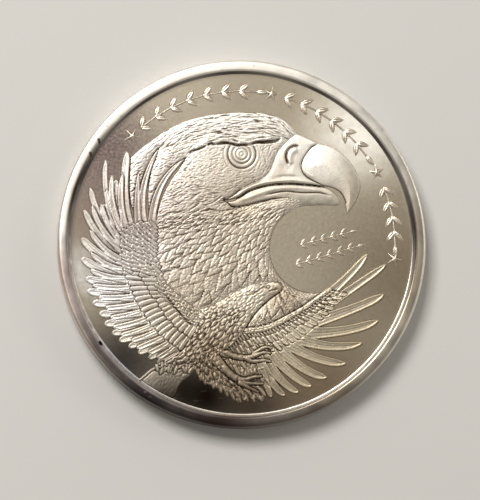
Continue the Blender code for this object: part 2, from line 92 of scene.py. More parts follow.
# FAR is more than any distance on the coin, and TINY is too little to matter.
FAR = 1e9
TINY = 1e-6
# Points left off the end of a cut line, so that it stays clear of a device's tip.
CUT_SHORT = 8


# --- Curves ---------------------------------------------------------------------------

def smooth(points):
    """Points of a Catmull-Rom curve through the given points, as an array."""
    ends = np.array([points[0], *points, points[-1]], float)
    steps = np.arange(SPANS)[:, None] / SPANS
    curve = []
    for a, b, c, d in zip(ends, ends[1:], ends[2:], ends[3:]):
        curve.append(0.5 * (2 * b + (c - a) * steps + (2 * a - 5 * b + 4 * c - d) * steps ** 2
                            + (3 * b - a - 3 * c + d) * steps ** 3))
    curve.append(ends[-1:])
    return np.concatenate(curve)


def polar(centre, radius, degrees):
    """Points at angles round a centre; the radius is one number, or one for each angle."""
    angles = np.radians(degrees)
    return np.stack([centre[0] + radius * np.cos(angles), centre[1] + radius * np.sin(angles)], 1)


def arc(centre, radius, start, end, count):
    """Points of an arc between two angles in degrees, in count pieces."""
    return polar(centre, radius, np.linspace(start, end, count + 1))


def join(*curves):
    """One outline or line out of several, end to end."""
    return np.concatenate([np.asarray(curve, float).reshape(-1, 2) for curve in curves])


def piece_lengths(curve):
    """The lengths of a curve's straight pieces."""
    return np.hypot(*np.diff(curve, axis=0).T)


def along(curve, shares):
    """Points at the given shares of a curve's length."""
    curve = np.asarray(curve, float)
    length = np.concatenate([[0.0], np.cumsum(piece_lengths(curve))])
    wanted = np.asarray(shares) * length[-1]
    return np.stack([np.interp(wanted, length, curve[:, 0]),
                     np.interp(wanted, length, curve[:, 1])], 1)


def unit(angle):
    """The direction at an angle, in radians from +X."""
    return np.array([math.cos(angle), math.sin(angle)])


def left_of(direction):
    """The direction a quarter turn to the left."""
    return np.array([-direction[1], direction[0]])


def turned(dx, dy, angle):
    """(distance along an angle's direction, distance to the left of it) of an offset."""
    c, s = math.cos(angle), math.sin(angle)
    return dx * c + dy * s, dy * c - dx * s


# --- Borders between the devices, the same as in the CAD design -------------------------

MOUTH_CORNER = (-1.7, 4.5)
BROW_TO_BEAK = (5.85, 11.7)
HORN_TOP = (8.05, 10.7)
HORN_FOOT = (8.8, 6.08)
WING_TIP_JOINT = (-11.95, 8.95)
WRIST = (-9.24, 2.2)
COVERT_HEAD = (-12.7, -2.95)
SHOULDER_END = (-4.75, -8.97)
MEDIAN_END = (-5.45, -10.1)
GREATER_END = (-6.35, -11.45)
NAPE = (-4.6, -7.1)
BREAST = (0.3, -9.05)
THIGH = (-1.1, -10.85)
BELLY = (-5.0, -13.4)
TAIL_ROOT = (-9.0, -13.15)

CROWN = smooth([
    WING_TIP_JOINT, (-10.0, 10.6), (-8.45, 11.7), (-6.65, 12.7), (-5.0, 13.3), (-2.55, 13.8),
    (0.0, 13.97), (2.05, 13.93), (3.6, 13.6), (4.6, 13.1), (5.3, 12.45), BROW_TO_BEAK])
CERE_TOP = smooth([BROW_TO_BEAK, (6.9, 11.25), HORN_TOP])
BEAK_RIDGE = smooth([
    HORN_TOP, (9.3, 10.42), (10.35, 9.88), (11.35, 8.9), (12.05, 7.9), (12.45, 7.0),
    (12.52, 6.0), (12.3, 5.15), (11.9, 4.3), (11.1, 3.2)])
HOOK = BEAK_RIDGE[3 * SPANS:]
BEAK_INSIDE = smooth([
    (11.1, 3.2), (11.0, 3.9), (10.78, 4.75), (10.38, 5.42), (9.7, 5.86), HORN_FOOT])
HORN_EDGE = smooth([
    HORN_TOP, (7.3, 10.28), (6.8, 9.65), (6.4, 9.0), (6.2, 8.3), (6.3, 7.75), (6.65, 7.25),
    (7.3, 6.8), HORN_FOOT])
CERE_EDGE = smooth([
    BROW_TO_BEAK, (4.9, 10.95), (4.0, 9.95), (3.6, 9.3), (3.3, 8.5), (3.0, 7.8), (2.55, 7.2),
    (1.9, 6.7), (1.0, 6.3), (0.0, 5.8), (-0.8, 5.15), MOUTH_CORNER])
MOUTH_LINE = smooth([
    MOUTH_CORNER, (-0.9, 4.65), (-0.2, 4.98), (0.5, 5.45), (1.3, 5.8), (2.1, 6.04), (3.2, 6.27),
    (4.8, 6.38), (6.1, 6.34), (7.5, 6.24), HORN_FOOT])
BAY_CENTRE = (7.6, -0.5)
BAY = arc(BAY_CENTRE, 4.7, 121.0, 288.0, 48)
BAY_BELOW_CHIN = BAY[4:]
BAY_AT_CHIN = BAY[:6]
CHIN = tuple(BAY[0])
WING_JOINT = tuple(BAY[-1])
GAPE = smooth([
    MOUTH_CORNER, (-1.15, 3.95), (-0.35, 3.89), (0.45, 4.05), (1.4, 4.3), (2.35, 4.56),
    (3.4, 4.8), (4.2, 4.88), (5.15, 4.85)])
JAW = smooth([HORN_FOOT, (9.4, 5.72), (9.95, 5.25), (10.25, 4.75), (10.3, 4.25), (10.05, 4.07)])
JAW_FOOT = smooth([(10.05, 4.07), (8.8, 4.1), (7.5, 4.07), (6.4, 3.97), CHIN])

RIGHT_LEADING = smooth([
    WING_JOINT, (8.1, -5.5), (7.4, -6.03), (6.45, -6.67), (5.5, -7.25), (4.6, -7.72),
    (3.45, -8.35), (2.3, -8.8), (1.3, -8.97), BREAST])
FLYER_FRONT = smooth([
    BREAST, (0.75, -8.3), (1.25, -7.55), (1.9, -6.8), (2.55, -6.2), (3.2, -5.65), (3.95, -5.13),
    (4.15, -4.75), (3.8, -4.17)])
FLYER_BACK = smooth([
    (3.8, -4.17), (3.2, -4.15), (2.3, -4.38), (1.25, -4.4), (0.35, -4.75), (-0.55, -5.15),
    (-1.45, -5.65), (-2.45, -6.28), (-3.35, -6.75), NAPE])
LEFT_LEADING = smooth([
    NAPE, (-5.7, -6.55), (-6.95, -5.5), (-8.0, -4.5), (-8.6, -3.45), (-8.95, -2.5),
    (-9.2, -1.2), (-9.28, 0.2), (-9.2, 1.2), WRIST])
FIRST_FRONT = smooth([
    WRIST, (-9.07, 3.23), (-8.4, 5.2), (-7.45, 6.92), (-6.76, 7.85), (-6.12, 8.94)])
FIRST_BACK = smooth([
    (-6.12, 8.94), (-7.3, 7.8), (-8.05, 6.9), (-8.65, 5.85), (-9.2, 4.6), (-9.9, 2.7)])
SECOND_FRONT = smooth([(-9.9, 2.7), (-10.05, 5.1), (-9.8, 7.4), (-9.24, 9.23), (-8.9, 9.92)])
SECOND_BACK = smooth([
    (-8.9, 9.92), (-9.7, 9.1), (-10.2, 8.0), (-10.6, 6.5), (-10.75, 4.5), (-11.0, 3.0)])
THIRD_FRONT = smooth([(-11.0, 3.0), (-11.7, 3.6), (-12.0, 5.2), (-12.0, 7.4), WING_TIP_JOINT])

SHOULDER_RIM = smooth([
    WRIST, (-10.0, 2.2), (-11.6, 1.9), (-12.8, 0.5), (-12.9, -0.5), (-12.5, -1.9), COVERT_HEAD])
COVERT_TOP = smooth([COVERT_HEAD, (-11.8, -3.15), (-10.9, -3.2)])
MEDIAN_TOP = smooth([(-10.9, -3.2), (-10.1, -3.2), (-9.3, -3.3)])
GREATER_EDGE = smooth([
    COVERT_HEAD, (-12.2, -3.97), (-11.7, -4.94), (-11.3, -6.03), (-10.4, -7.56), (-9.26, -9.1),
    (-8.5, -9.87), (-7.6, -10.64), GREATER_END])
MEDIAN_EDGE = smooth([
    (-10.9, -3.2), (-10.0, -4.74), (-9.26, -5.9), (-8.2, -7.56), (-7.6, -8.33), (-6.8, -9.1),
    MEDIAN_END])
SHOULDER_EDGE = smooth([
    (-9.3, -3.3), (-8.5, -5.13), (-7.85, -5.9), (-7.08, -6.92), (-6.3, -7.8), (-5.54, -8.53),
    SHOULDER_END])
COVERT_FOOT = smooth([
    THIGH, (1.0, -10.95), (2.0, -10.65), (3.2, -10.6), (4.7, -10.7), (6.0, -10.1),
    (7.15, -9.35), (8.2, -7.9), (8.15, -7.0), (8.6, -6.0), WING_JOINT])
BREAST_SIDE = smooth([BREAST, (-0.3, -9.9), THIGH])
TAIL_BORDER = smooth([BELLY, (-5.9, -13.3), (-7.2, -13.3), (-8.3, -13.4), TAIL_ROOT])

HEAD = join(CROWN, CERE_EDGE, GAPE, BAY, RIGHT_LEADING, FLYER_FRONT, FLYER_BACK, LEFT_LEADING,
            FIRST_FRONT, FIRST_BACK, SECOND_FRONT, SECOND_BACK, THIRD_FRONT)
CERE = join(CERE_TOP, HORN_EDGE, MOUTH_LINE[::-1], CERE_EDGE[::-1])
UPPER_BEAK = join(BEAK_RIDGE, BEAK_INSIDE, HORN_EDGE[::-1])
LOWER_BEAK = join(MOUTH_LINE, JAW, JAW_FOOT, GAPE[::-1])
SHOULDER = join(SHOULDER_RIM, COVERT_TOP, MEDIAN_TOP, SHOULDER_EDGE, LEFT_LEADING)
RIGHT_COVERTS = join(RIGHT_LEADING, BREAST_SIDE, COVERT_FOOT)
TROUSERS = [
    (2.2, -16.15), (2.2, -16.65), (1.75, -16.3), (1.2, -16.65), (0.75, -16.3), (0.2, -16.75),
    (-0.05, -16.4), (-0.4, -16.85), (-1.05, -16.2), (-2.2, -15.5), (-3.74, -14.87), (-4.5, -14.5)]
LEGS_SIDE = [
    (-1.6, -11.25), (-2.3, -11.75), (-2.95, -12.1), (-2.9, -12.65), (-2.35, -13.35),
    (-1.8, -14.05), (-1.1, -14.6), (-0.55, -14.85), (-0.35, -15.15), (0.1, -15.45),
    (0.85, -15.8), (1.5, -16.05)]
BODY = join(FLYER_BACK[::-1], FLYER_FRONT[::-1], BREAST_SIDE, LEGS_SIDE, TROUSERS, TAIL_BORDER,
            [(-7.9, -12.55), GREATER_END, MEDIAN_END, SHOULDER_END])
TAIL = join([TAIL_ROOT, (-9.5, -13.35), (-10.1, -13.9)],
            arc((0.0, 0.0), 18.05, 233.5, 246.0, 8),
            [(-6.95, -15.77), (-6.7, -15.1), (-6.3, -14.6), (-5.6, -14.1)], TAIL_BORDER)

# Flight feathers: (root, middle, tip, width).  The first ones of the left wing belong to its
# upper, narrower group, and its long ones lie along the neck.
LEFT_FLIGHT = (
    ((-12.0, 1.6), (-12.5, 5.2), (-12.2, 9.6), 0.95),
    ((-12.6, 1.2), (-13.35, 4.0), (-13.35, 6.6), 0.90),
    ((-12.6, 0.4), (-14.3, 4.6), (-14.45, 8.7), 0.65),
    ((-12.8, 0.3), (-14.1, 2.3), (-14.7, 4.0), 0.80),
    ((-12.7, -0.4), (-15.0, 2.5), (-16.08, 5.7), 0.75),
    ((-12.7, -1.4), (-15.1, 0.6), (-16.72, 3.35), 0.80),
    ((-12.6, -2.6), (-14.9, -1.5), (-17.0, 0.4), 0.80),
    ((-12.5, -3.5), (-14.8, -2.95), (-16.95, -1.75), 0.80),
    ((-12.1, -4.4), (-14.3, -4.3), (-16.5, -3.9), 0.80),
    ((-11.7, -5.4), (-14.0, -5.4), (-16.35, -5.25), 0.75),
    ((-11.3, -6.3), (-13.6, -6.45), (-15.8, -6.5), 0.75),
    ((-10.9, -7.1), (-13.0, -7.4), (-15.1, -7.65), 0.75),
    ((-10.4, -7.8), (-12.5, -8.3), (-14.55, -8.7), 0.75),
    ((-9.8, -8.6), (-11.9, -9.25), (-13.75, -9.65), 0.70),
    ((-9.3, -9.2), (-11.3, -9.9), (-13.0, -10.4), 0.70),
    ((-8.7, -9.8), (-10.5, -10.5), (-12.0, -11.05), 0.65),
    ((-8.0, -10.4), (-9.6, -11.1), (-11.0, -11.7), 0.65),
    ((-7.4, -10.9), (-8.8, -11.7), (-9.9, -12.25), 0.60),
    ((-6.8, -11.3), (-8.0, -12.2), (-9.0, -12.85), 0.60),
)
UPPER_FLIGHT_COUNT = 6
LONG_FEATHERS = (
    ((-10.35, 1.6), (-10.5, 5.6), (-8.95, 9.85), 0.85),
    ((-11.0, 1.6), (-11.15, 4.4), (-11.0, 7.4), 0.75),
    ((-9.6, 1.2), (-8.75, 5.7), (-6.15, 8.85), 0.85))
RIGHT_FLIGHT = (
    ((7.6, -6.6), (11.0, -3.65), (13.3, -1.0), 0.75),
    ((7.7, -7.3), (12.1, -4.4), (15.3, -2.1), 0.75),
    ((7.6, -8.3), (12.0, -6.75), (15.05, -5.3), 0.90),
    ((6.9, -9.5), (11.2, -9.1), (14.45, -8.05), 0.90),
    ((5.6, -10.0), (9.4, -10.85), (12.75, -10.45), 0.85),
    ((4.9, -10.7), (8.1, -12.2), (11.0, -12.65), 0.85),
    ((4.0, -11.3), (6.7, -13.35), (8.95, -14.15), 0.85),
    ((3.3, -11.9), (5.4, -14.0), (7.3, -15.1), 0.80),
    ((2.9, -12.9), (4.4, -14.75), (5.95, -15.75), 0.75),
    ((2.5, -13.7), (3.5, -15.2), (4.5, -16.1), 0.70),
    ((2.35, -14.4), (2.75, -15.5), (3.05, -16.3), 0.60),
)
# Legs: the shank and three toes, each its points, first width and last width; then the thighs.
UPPER_LEG = (
    ([(-1.65, -11.6), (-1.1, -11.88), (-0.4, -12.08), (0.4, -12.12)], 0.42, 0.36),
    ([(0.3, -12.1), (0.9, -12.0), (1.4, -11.55), (2.0, -11.14), (2.6, -10.98), (3.05, -11.1)],
     0.36, 0.12),
    ([(0.6, -12.1), (1.2, -11.95), (1.8, -11.68), (2.3, -11.56), (2.9, -11.62)], 0.32, 0.14),
    ([(0.4, -12.2), (1.0, -12.48), (1.7, -12.45), (2.3, -12.38), (2.9, -12.5)], 0.34, 0.14))
LOWER_LEG = (
    ([(-1.9, -13.2), (-1.55, -13.62), (-0.9, -14.15), (-0.2, -14.45)], 0.52, 0.42),
    ([(-0.3, -14.45), (0.5, -14.38), (1.15, -14.16), (1.95, -14.08)], 0.36, 0.16),
    ([(-0.3, -14.6), (0.4, -14.8), (1.2, -14.84), (2.15, -14.86)], 0.34, 0.14),
    ([(-0.3, -14.8), (0.3, -15.1), (0.95, -15.4), (1.65, -15.72)], 0.34, 0.14))
UPPER_THIGH = ([(-2.6, -11.3), (-2.0, -11.7), (-1.2, -11.9)], 0.9, 0.5)
LOWER_THIGH = ([(-3.0, -12.1), (-2.4, -12.8), (-1.6, -13.6), (-0.9, -14.1)], 1.2, 0.6)

# The legend band: degrees of its stars, and first and last degree of its sprigs.
LEGEND_RADIUS = 16.25
STAR_ANGLES = (136.0, 79.0, 28.3, -5.4)
SPRIG_SPANS = ((131.5, 84.5), (73.8, 35.3), (22.0, -0.6))
LEAF_PITCH = 1.8
# The small sprigs: name, first point, last point and number of leaf pairs.
FIELD_SPRIGS = (("field_sprig_upper", (6.2, -0.1), (11.5, 1.3), 5),
                ("field_sprig_lower", (5.7, -2.2), (12.3, -0.2), 6))


# --- The height map -------------------------------------------------------------------

class Relief:
    """Heights above a field, on a square grid, and which device each grid point is part of."""

    def __init__(self, half_width, step):
        count = int(round(half_width / step))
        axis = np.arange(-count, count + 1) * step
        self.step = step
        self.axis = axis
        self.x, self.y = np.meshgrid(axis, axis, indexing="ij")
        self.height = np.full(self.x.shape, SUNK)
        self.owner = np.zeros(self.x.shape, np.int16)
        # How dark each point is painted: patina, and painted shade in grooves, gaps and hollows.
        self.patina_and_shade = np.zeros(self.x.shape)
        self.devices = []

    def device(self, name):
        """The number of a device, which is given out at its first mention."""
        if name not in self.devices:
            self.devices.append(name)
        return self.devices.index(name) + 1

    def window(self, points, margin):
        """(the part of the grid round some points, x and y of its grid points)."""
        points = np.asarray(points, float).reshape(-1, 2)
        low = np.searchsorted(self.axis, points.min(0) - margin)
        high = np.searchsorted(self.axis, points.max(0) + margin)
        part = (slice(low[0], high[0]), slice(low[1], high[1]))
        return part, self.x[part], self.y[part]

    def lift(self, part, heights, device):
        """Raises the map to heights wherever they are higher, and hands those points over."""
        over = heights > self.height[part]
        self.cover(part, over, heights, device)

    def cover(self, part, inside, heights, device):
        """Puts heights in place of what is there."""
        self.height[part] = np.where(inside, heights, self.height[part])
        self.owner[part] = np.where(inside, device, self.owner[part])
        self.patina_and_shade[part] = np.where(inside, 0.0, self.patina_and_shade[part])

    def cut(self, part, depths, device=None, patina_shade=0.0):
        """Sinks the map by depths, on one device or on all of them, and darkens the cut with patina
        and painted shade.
        """
        struck = self.owner[part] > 0 if device is None else self.owner[part] == device
        self.height[part] -= np.where(struck, depths, 0.0)
        self.patina_and_shade[part] += np.where(struck, patina_shade * depths, 0.0)


def inside_distance(x, y, outline):
    """The distance to a closed outline: above zero inside it, below zero outside."""
    outline = np.asarray(outline, float)
    gaps = np.hypot(*(outline - np.roll(outline, -1, axis=0)).T)
    outline = outline[gaps > TINY]
    nearest = np.full(x.shape, FAR)
    inside = np.zeros(x.shape, bool)
    for (ax, ay), (bx, by) in zip(outline, np.roll(outline, -1, axis=0)):
        ex, ey = bx - ax, by - ay
        share = np.clip(((x - ax) * ex + (y - ay) * ey) / (ex * ex + ey * ey), 0.0, 1.0)
        nearest = np.minimum(nearest, (x - ax - share * ex) ** 2 + (y - ay - share * ey) ** 2)
        if ey != 0.0:
            crosses = ((ay > y) != (by > y)) & (x < ax + (y - ay) * ex / ey)
            inside ^= crosses
    return np.where(inside, 1.0, -1.0) * np.sqrt(nearest)


def curve_distance(x, y, curve):
    """(distance to an open curve, share of the curve at the nearest point)."""
    curve = np.asarray(curve, float)
    lengths = piece_lengths(curve)
    starts = np.concatenate([[0.0], np.cumsum(lengths)])
    nearest = np.full(x.shape, FAR)
    share = np.zeros(x.shape)
    for (ax, ay), (bx, by), length, start in zip(curve, curve[1:], lengths, starts):
        if length < TINY:
            continue
        ex, ey = bx - ax, by - ay
        t = np.clip(((x - ax) * ex + (y - ay) * ey) / length ** 2, 0.0, 1.0)
        square = (x - ax - t * ex) ** 2 + (y - ay - t * ey) ** 2
        closer = square < nearest
        nearest = np.where(closer, square, nearest)
        share = np.where(closer, (start + t * length) / starts[-1], share)
    return np.sqrt(nearest), share


def edge_rise(distance, height):
    """The side of a device: a steep straight slope that rounds off to its height."""
    slope = EDGE_SLOPE * distance
    past = np.maximum(slope - height / 2, 0.0)
    return np.where(slope < height / 2, slope,
                    height - height / 2 * np.exp(-past / (height / 2)))


def dome_rise(distance, reach):
    """0 at the outline, rising like a quarter circle to 1 at the distance reach inside it."""
    share = np.clip(distance / reach, 0.0, 1.0)
    return np.sqrt(1.0 - (1.0 - share) ** 2)


def arch_rise(distance, reach):
    """0 at the outline, rising like a parabola to 1 at the distance reach inside it."""
    return 1.0 - (1.0 - np.clip(distance / reach, 0.0, 1.0)) ** 2


def bump(distance, width):
    """1 at no distance, falling smoothly away over a width."""
    return np.exp(-(distance / width) ** 2)


def mound(relief, name, outline, edge, top, reach, foot=None, back=dome_rise):
    """A crowned body: its side rises to edge, and its back on to top within reach.

    With a foot it also covers what it lies on, from the height foot at its border.  Gives
    back the part of the grid that it may cover, and the x and y of the grid points there."""
    device = relief.device(name)
    part, x, y = relief.window(outline, 0.3)
    distance = inside_distance(x, y, outline)
    crown = (top - edge) * back(distance, reach)
    if foot is None:
        relief.lift(part, edge_rise(distance, edge) + crown, device)
    else:
        sides = foot + np.where(distance > 0, edge_rise(distance, edge - foot),
                                2 * EDGE_SLOPE * distance)
        relief.cover(part, distance > 0.0, sides + crown, device)
        relief.lift(part, sides, device)
    return part, x, y


def engrave(relief, curve, width, depth, ends=0.12, name=None, patina_shade=6.0):
    """A cut line along a curve that fades out at both its ends."""
    part, x, y = relief.window(curve, width * 3)
    distance, share = curve_distance(x, y, curve)
    fade = np.clip(np.minimum(share, 1.0 - share) / ends, 0.0, 1.0)
    device = relief.device(name) if name else None
    # The cut is darkened with patina and painted shade.
    relief.cut(part, depth * fade * bump(distance, width), device, patina_shade)


def ridge(relief, curve, width, height, name):
    """A raised line on a device that fades out at both its ends."""
    engrave(relief, curve, width, -height, ends=0.1, name=name, patina_shade=0.0)


def limb(relief, name, curve, start_width, end_width, base, height, knuckles=0.0):
    """A round bar along a curve that narrows from its start to its end."""
    device = relief.device(name)
    curve = smooth(curve)
    part, x, y = relief.window(curve, start_width)
    distance, share = curve_distance(x, y, curve)
    half = (start_width + (end_width - start_width) * share) / 2
    if knuckles:
        half = half * (1 + 0.10 * np.sin(2 * math.pi * knuckles * share))
    inside = half - distance
    # A dark groove round the bar's foot, darkened with patina and painted shade.
    relief.cut(part, 0.06 * bump(inside.clip(None, 0.0), 0.09) * (inside < 0), patina_shade=7.0)
    heights = np.where(inside > 0, base + height * dome_rise(inside, start_width / 2),
                       EDGE_SLOPE * 1.5 * inside + base * np.exp(inside / 0.06))
    relief.lift(part, heights, device)


class Feather:
    """One feather: (root, middle, tip) of its parabolic centre line, and its width."""

    def __init__(self, root, middle, tip, width, start=0.0):
        self.shares = np.linspace(start, 1.0, 33)
        self.start = start
        t = self.shares[:, None]
        root, middle, tip = (np.array(point, float) for point in (root, middle, tip))
        self.line = ((1 - t) * (1 - 2 * t) * root + 4 * t * (1 - t) * middle
                     + t * (2 * t - 1) * tip)
        slope = (4 * t - 3) * root + (4 - 8 * t) * middle + (4 * t - 1) * tip
        self.speed = np.hypot(slope[:, 0], slope[:, 1])
        self.along = slope / self.speed[:, None]
        self.length = float(self.speed.mean())
        self.width = width

    def place(self, x, y):
        """(share from root to tip, signed offset from the centre line) of each point."""
        square = ((x[..., None] - self.line[:, 0]) ** 2 + (y[..., None] - self.line[:, 1]) ** 2)
        k = square.argmin(-1)
        dx = x - self.line[k, 0]
        dy = y - self.line[k, 1]
        forward = dx * self.along[k, 0] + dy * self.along[k, 1]
        offset = dy * self.along[k, 0] - dx * self.along[k, 1]
        return self.shares[k] + forward / self.speed[k], offset


def press_feather(relief, name, feather, base, lift, rim=0.0, rachis=0.0, veins=0.0,
                  tip_share=0.25, point=0.5, flare=0.0, side_tilt=0.0, gap=0.05, edge=0.12,
                  vane_shade=0.0, cover=False):
    """Presses one feather: lift raises its tip above its root, so that rows overlap.

    tip_share is the part that narrows to the tip, bluntly for a small point and sharply
    for a large one; flare widens the root; side_tilt raises its left side; rachis and veins
    are the depths of the line along its middle and of those beside it, which are darkened
    with patina and painted shade; the vane's painted shade darkens what lies between its
    raised edges, and painted shade also darkens the gap cut round the feather's outside.
    lies between its raised edges."""
    device = relief.device(name)
    part, x, y = relief.window(feather.line, feather.width * (1 + flare) / 2 + 0.25)
    t, offset = feather.place(x, y)
    share = np.clip(t, 0.0, 1.0)
    near_tip = np.clip((t - (1.0 - tip_share)) / tip_share, 0.0, 1.0)
    half = feather.width / 2 * (1.0 + flare * (1.0 - share) ** 2)
    half = half * np.clip(1.0 - near_tip ** 2, 0.0, 1.0) ** point
    inside = half - np.abs(offset)
    inside = np.minimum(inside, (1.0 - t) * feather.length)
    inside = np.minimum(inside, (t - feather.start + 0.02) * feather.length)
    within = inside > 0.0
    blade = base + lift * share + side_tilt * offset / feather.width
    heights = np.where(within, blade * (1.0 - 0.6 * np.exp(-inside.clip(0.0) / (edge / 2))),
                       0.4 * blade + EDGE_SLOPE * 1.4 * inside)
    heights += rim * bump(inside - 0.11, 0.07) * within
    middle = bump(offset, 0.05) * (share < 0.93)
    beside = bump(np.abs(offset) - 0.27 * feather.width, 0.045) * (share < 0.85)
    heights -= rachis * middle + veins * beside
    outside = ~within & (t > 0.1 * (1 - feather.start))
    # Painted shade, with patina, in the gap cut just outside the feather, on what it overlaps.
    relief.cut(part, gap * bump(inside, 0.08) * outside, patina_shade=6.0)
    if cover:
        relief.cover(part, within, heights, device)
    else:
        relief.lift(part, heights, device)
    mine = within & (relief.owner[part] == device) & (relief.height[part] <= heights + TINY)
    # Painted shade between the raised edges, and patina and painted shade in the shaft lines.
    patina_shade = 6.0 * (rachis * middle + veins * beside) + vane_shade * np.clip(inside / 0.12 - 1.4, 0, 1)
    relief.patina_and_shade[part] += np.where(mine, patina_shade, 0.0)


def press_stroke(relief, device, x0, y0, angle, length, width, depth, patina_shade=14.0):
    """One short graver's stroke: a groove with pointed ends."""
    part, x, y = relief.window([(x0, y0)], length / 2 + 0.1)
    forward, offset = turned(x - x0, y - y0, angle)
    fade = np.clip(1.0 - (2 * forward / length) ** 2, 0.0, 1.0)
    relief.cut(part, depth * fade * bump(offset, width), device, patina_shade)


# --- Which way the feathers lie -------------------------------------------------------

class Flow:
    """A field of directions, in degrees from +X, blended from a few given ones."""

    def __init__(self, knots):
        knots = np.array(knots, float)
        self.points = knots[:, :2]
        self.directions = polar((0.0, 0.0), 1.0, knots[:, 2])

    def __call__(self, x, y):
        """The direction at a point, in radians."""
        weight = 1.0 / (((x - self.points[:, 0]) ** 2 + (y - self.points[:, 1]) ** 2) ** 1.5 + 0.05)
        along_x, along_y = weight @ self.directions
        return math.atan2(along_y, along_x)


HEAD_FLOW = Flow([
    (5.0, 12.3, 125), (3.0, 13.2, 168), (0.0, 13.2, 178), (-4.0, 12.6, 192), (-8.0, 11.0, 212),
    (-10.5, 9.2, 228), (3.5, 11.6, 170), (0.0, 11.6, 178), (-3.5, 11.3, 192), (-7.0, 9.6, 208),
    (2.6, 9.5, 250), (2.2, 7.6, 225), (0.0, 7.0, 190), (-3.0, 8.8, 186), (-6.0, 7.5, 183),
    (-4.0, 6.0, 180), (-8.5, 7.5, 200), (-7.5, 5.0, 190), (-3.0, 4.0, 187), (2.5, 4.3, 196),
    (-6.0, 2.5, 198), (-1.0, 2.5, 202), (3.0, 3.0, 218), (-8.4, 1.5, 200), (-3.5, 0.8, 214),
    (0.0, 0.5, 224), (2.4, 1.0, 232), (-8.0, -1.8, 216), (-5.0, -2.5, 226), (-1.5, -2.5, 232),
    (1.5, -1.5, 244), (3.0, -2.8, 262), (-6.5, -4.8, 238), (-3.0, -5.0, 240), (0.0, -4.0, 246),
    (5.0, -6.3, 285), (3.0, -7.0, 262), (7.5, -5.6, 320)])


def thinned(candidates, outline, margin, flow, room):
    """Those of some points that lie inside an outline and leave each other room: x, y and the
    flow's angle of each.  Room gives the free distance along the flow, and across it."""
    inside = inside_distance(candidates[:, 0], candidates[:, 1], outline) > margin
    kept = np.zeros((0, 3))
    for x, y in candidates[inside]:
        angle = flow(x, y)
        forward, sideways = turned(kept[:, 0] - x, kept[:, 1] - y, angle)
        free_along, free_across = room(x, y)
        apart = (forward / free_along) ** 2 + (sideways / free_across) ** 2
        if not len(kept) or apart.min() > 1.0:
            kept = np.append(kept, [(x, y, angle)], axis=0)
    return kept


def scatter(outline, spacing, margin, stretch, flow, seed):
    """Spots spread evenly but irregularly over an outline: x, y and the flow's angle of each.

    Along the flow they stand further apart, by the factor stretch."""
    random = np.random.default_rng(seed)
    outline = np.asarray(outline, float)
    low, high = outline.min(0), outline.max(0)
    area = np.prod(high - low)
    tries = int(6 * area / (spacing ** 2 * stretch))
    candidates = random.uniform(low, high, (tries, 2))
    return thinned(candidates, outline, margin, flow, lambda x, y: (spacing * stretch, spacing))


# --- The large eagle ------------------------------------------------------------------

def neck_size(x, y):
    """Width and length of the hackles at a point: they grow down and back along the neck."""
    down = np.clip((4.0 - y) / 8.5, 0.0, 1.0)
    back = np.clip((1.0 - x) / 8.0, 0.0, 1.0) * np.clip(-y / 3.0, 0.0, 1.0)
    return 0.34 + 0.95 * down + 0.35 * back, 1.15 + 1.35 * down + 0.2 * back


def neck_room(x, y):
    """How far the next hackle stands off, along the flow and across it."""
    width, length = neck_size(x, y)
    return length * 0.46, width * 0.60


def press_neck(relief):
    """Overlapping hackles, from fine ones below the cheek to broad ones at the breast."""
    random = np.random.default_rng(7)
    neck = join([(-9.3, 2.4), (-5.0, 3.2), (0.0, 3.2), (4.4, 3.0)], BAY_BELOW_CHIN,
                RIGHT_LEADING, FLYER_FRONT, FLYER_BACK, LEFT_LEADING)
    ground = relief.height.copy()
    candidates = random.uniform(neck.min(0), neck.max(0), (9000, 2))
    kept = thinned(candidates, neck, -0.15, HEAD_FLOW, neck_room)
    for x, y, angle in kept[np.argsort(kept[:, 1] + 0.6 * kept[:, 0])]:
        width, length = neck_size(x, y)
        length *= random.uniform(0.85, 1.2)
        angle += random.uniform(-0.16, 0.16)
        press_hackle(relief, (x, y), angle, width * random.uniform(1.0, 1.3), length,
                     random.uniform(-0.08, 0.08), ground, random.uniform(0.6, 1.2))
    # One more row of hackles frames the bay of open field below the beak.
    for turn in np.arange(283.0, 196.0, -7.0):
        spot = polar(BAY_CENTRE, 5.15, [turn])[0]
        press_hackle(relief, spot, math.radians(turn + 72.0), 0.5, 1.6, -0.1, ground, 1.1)


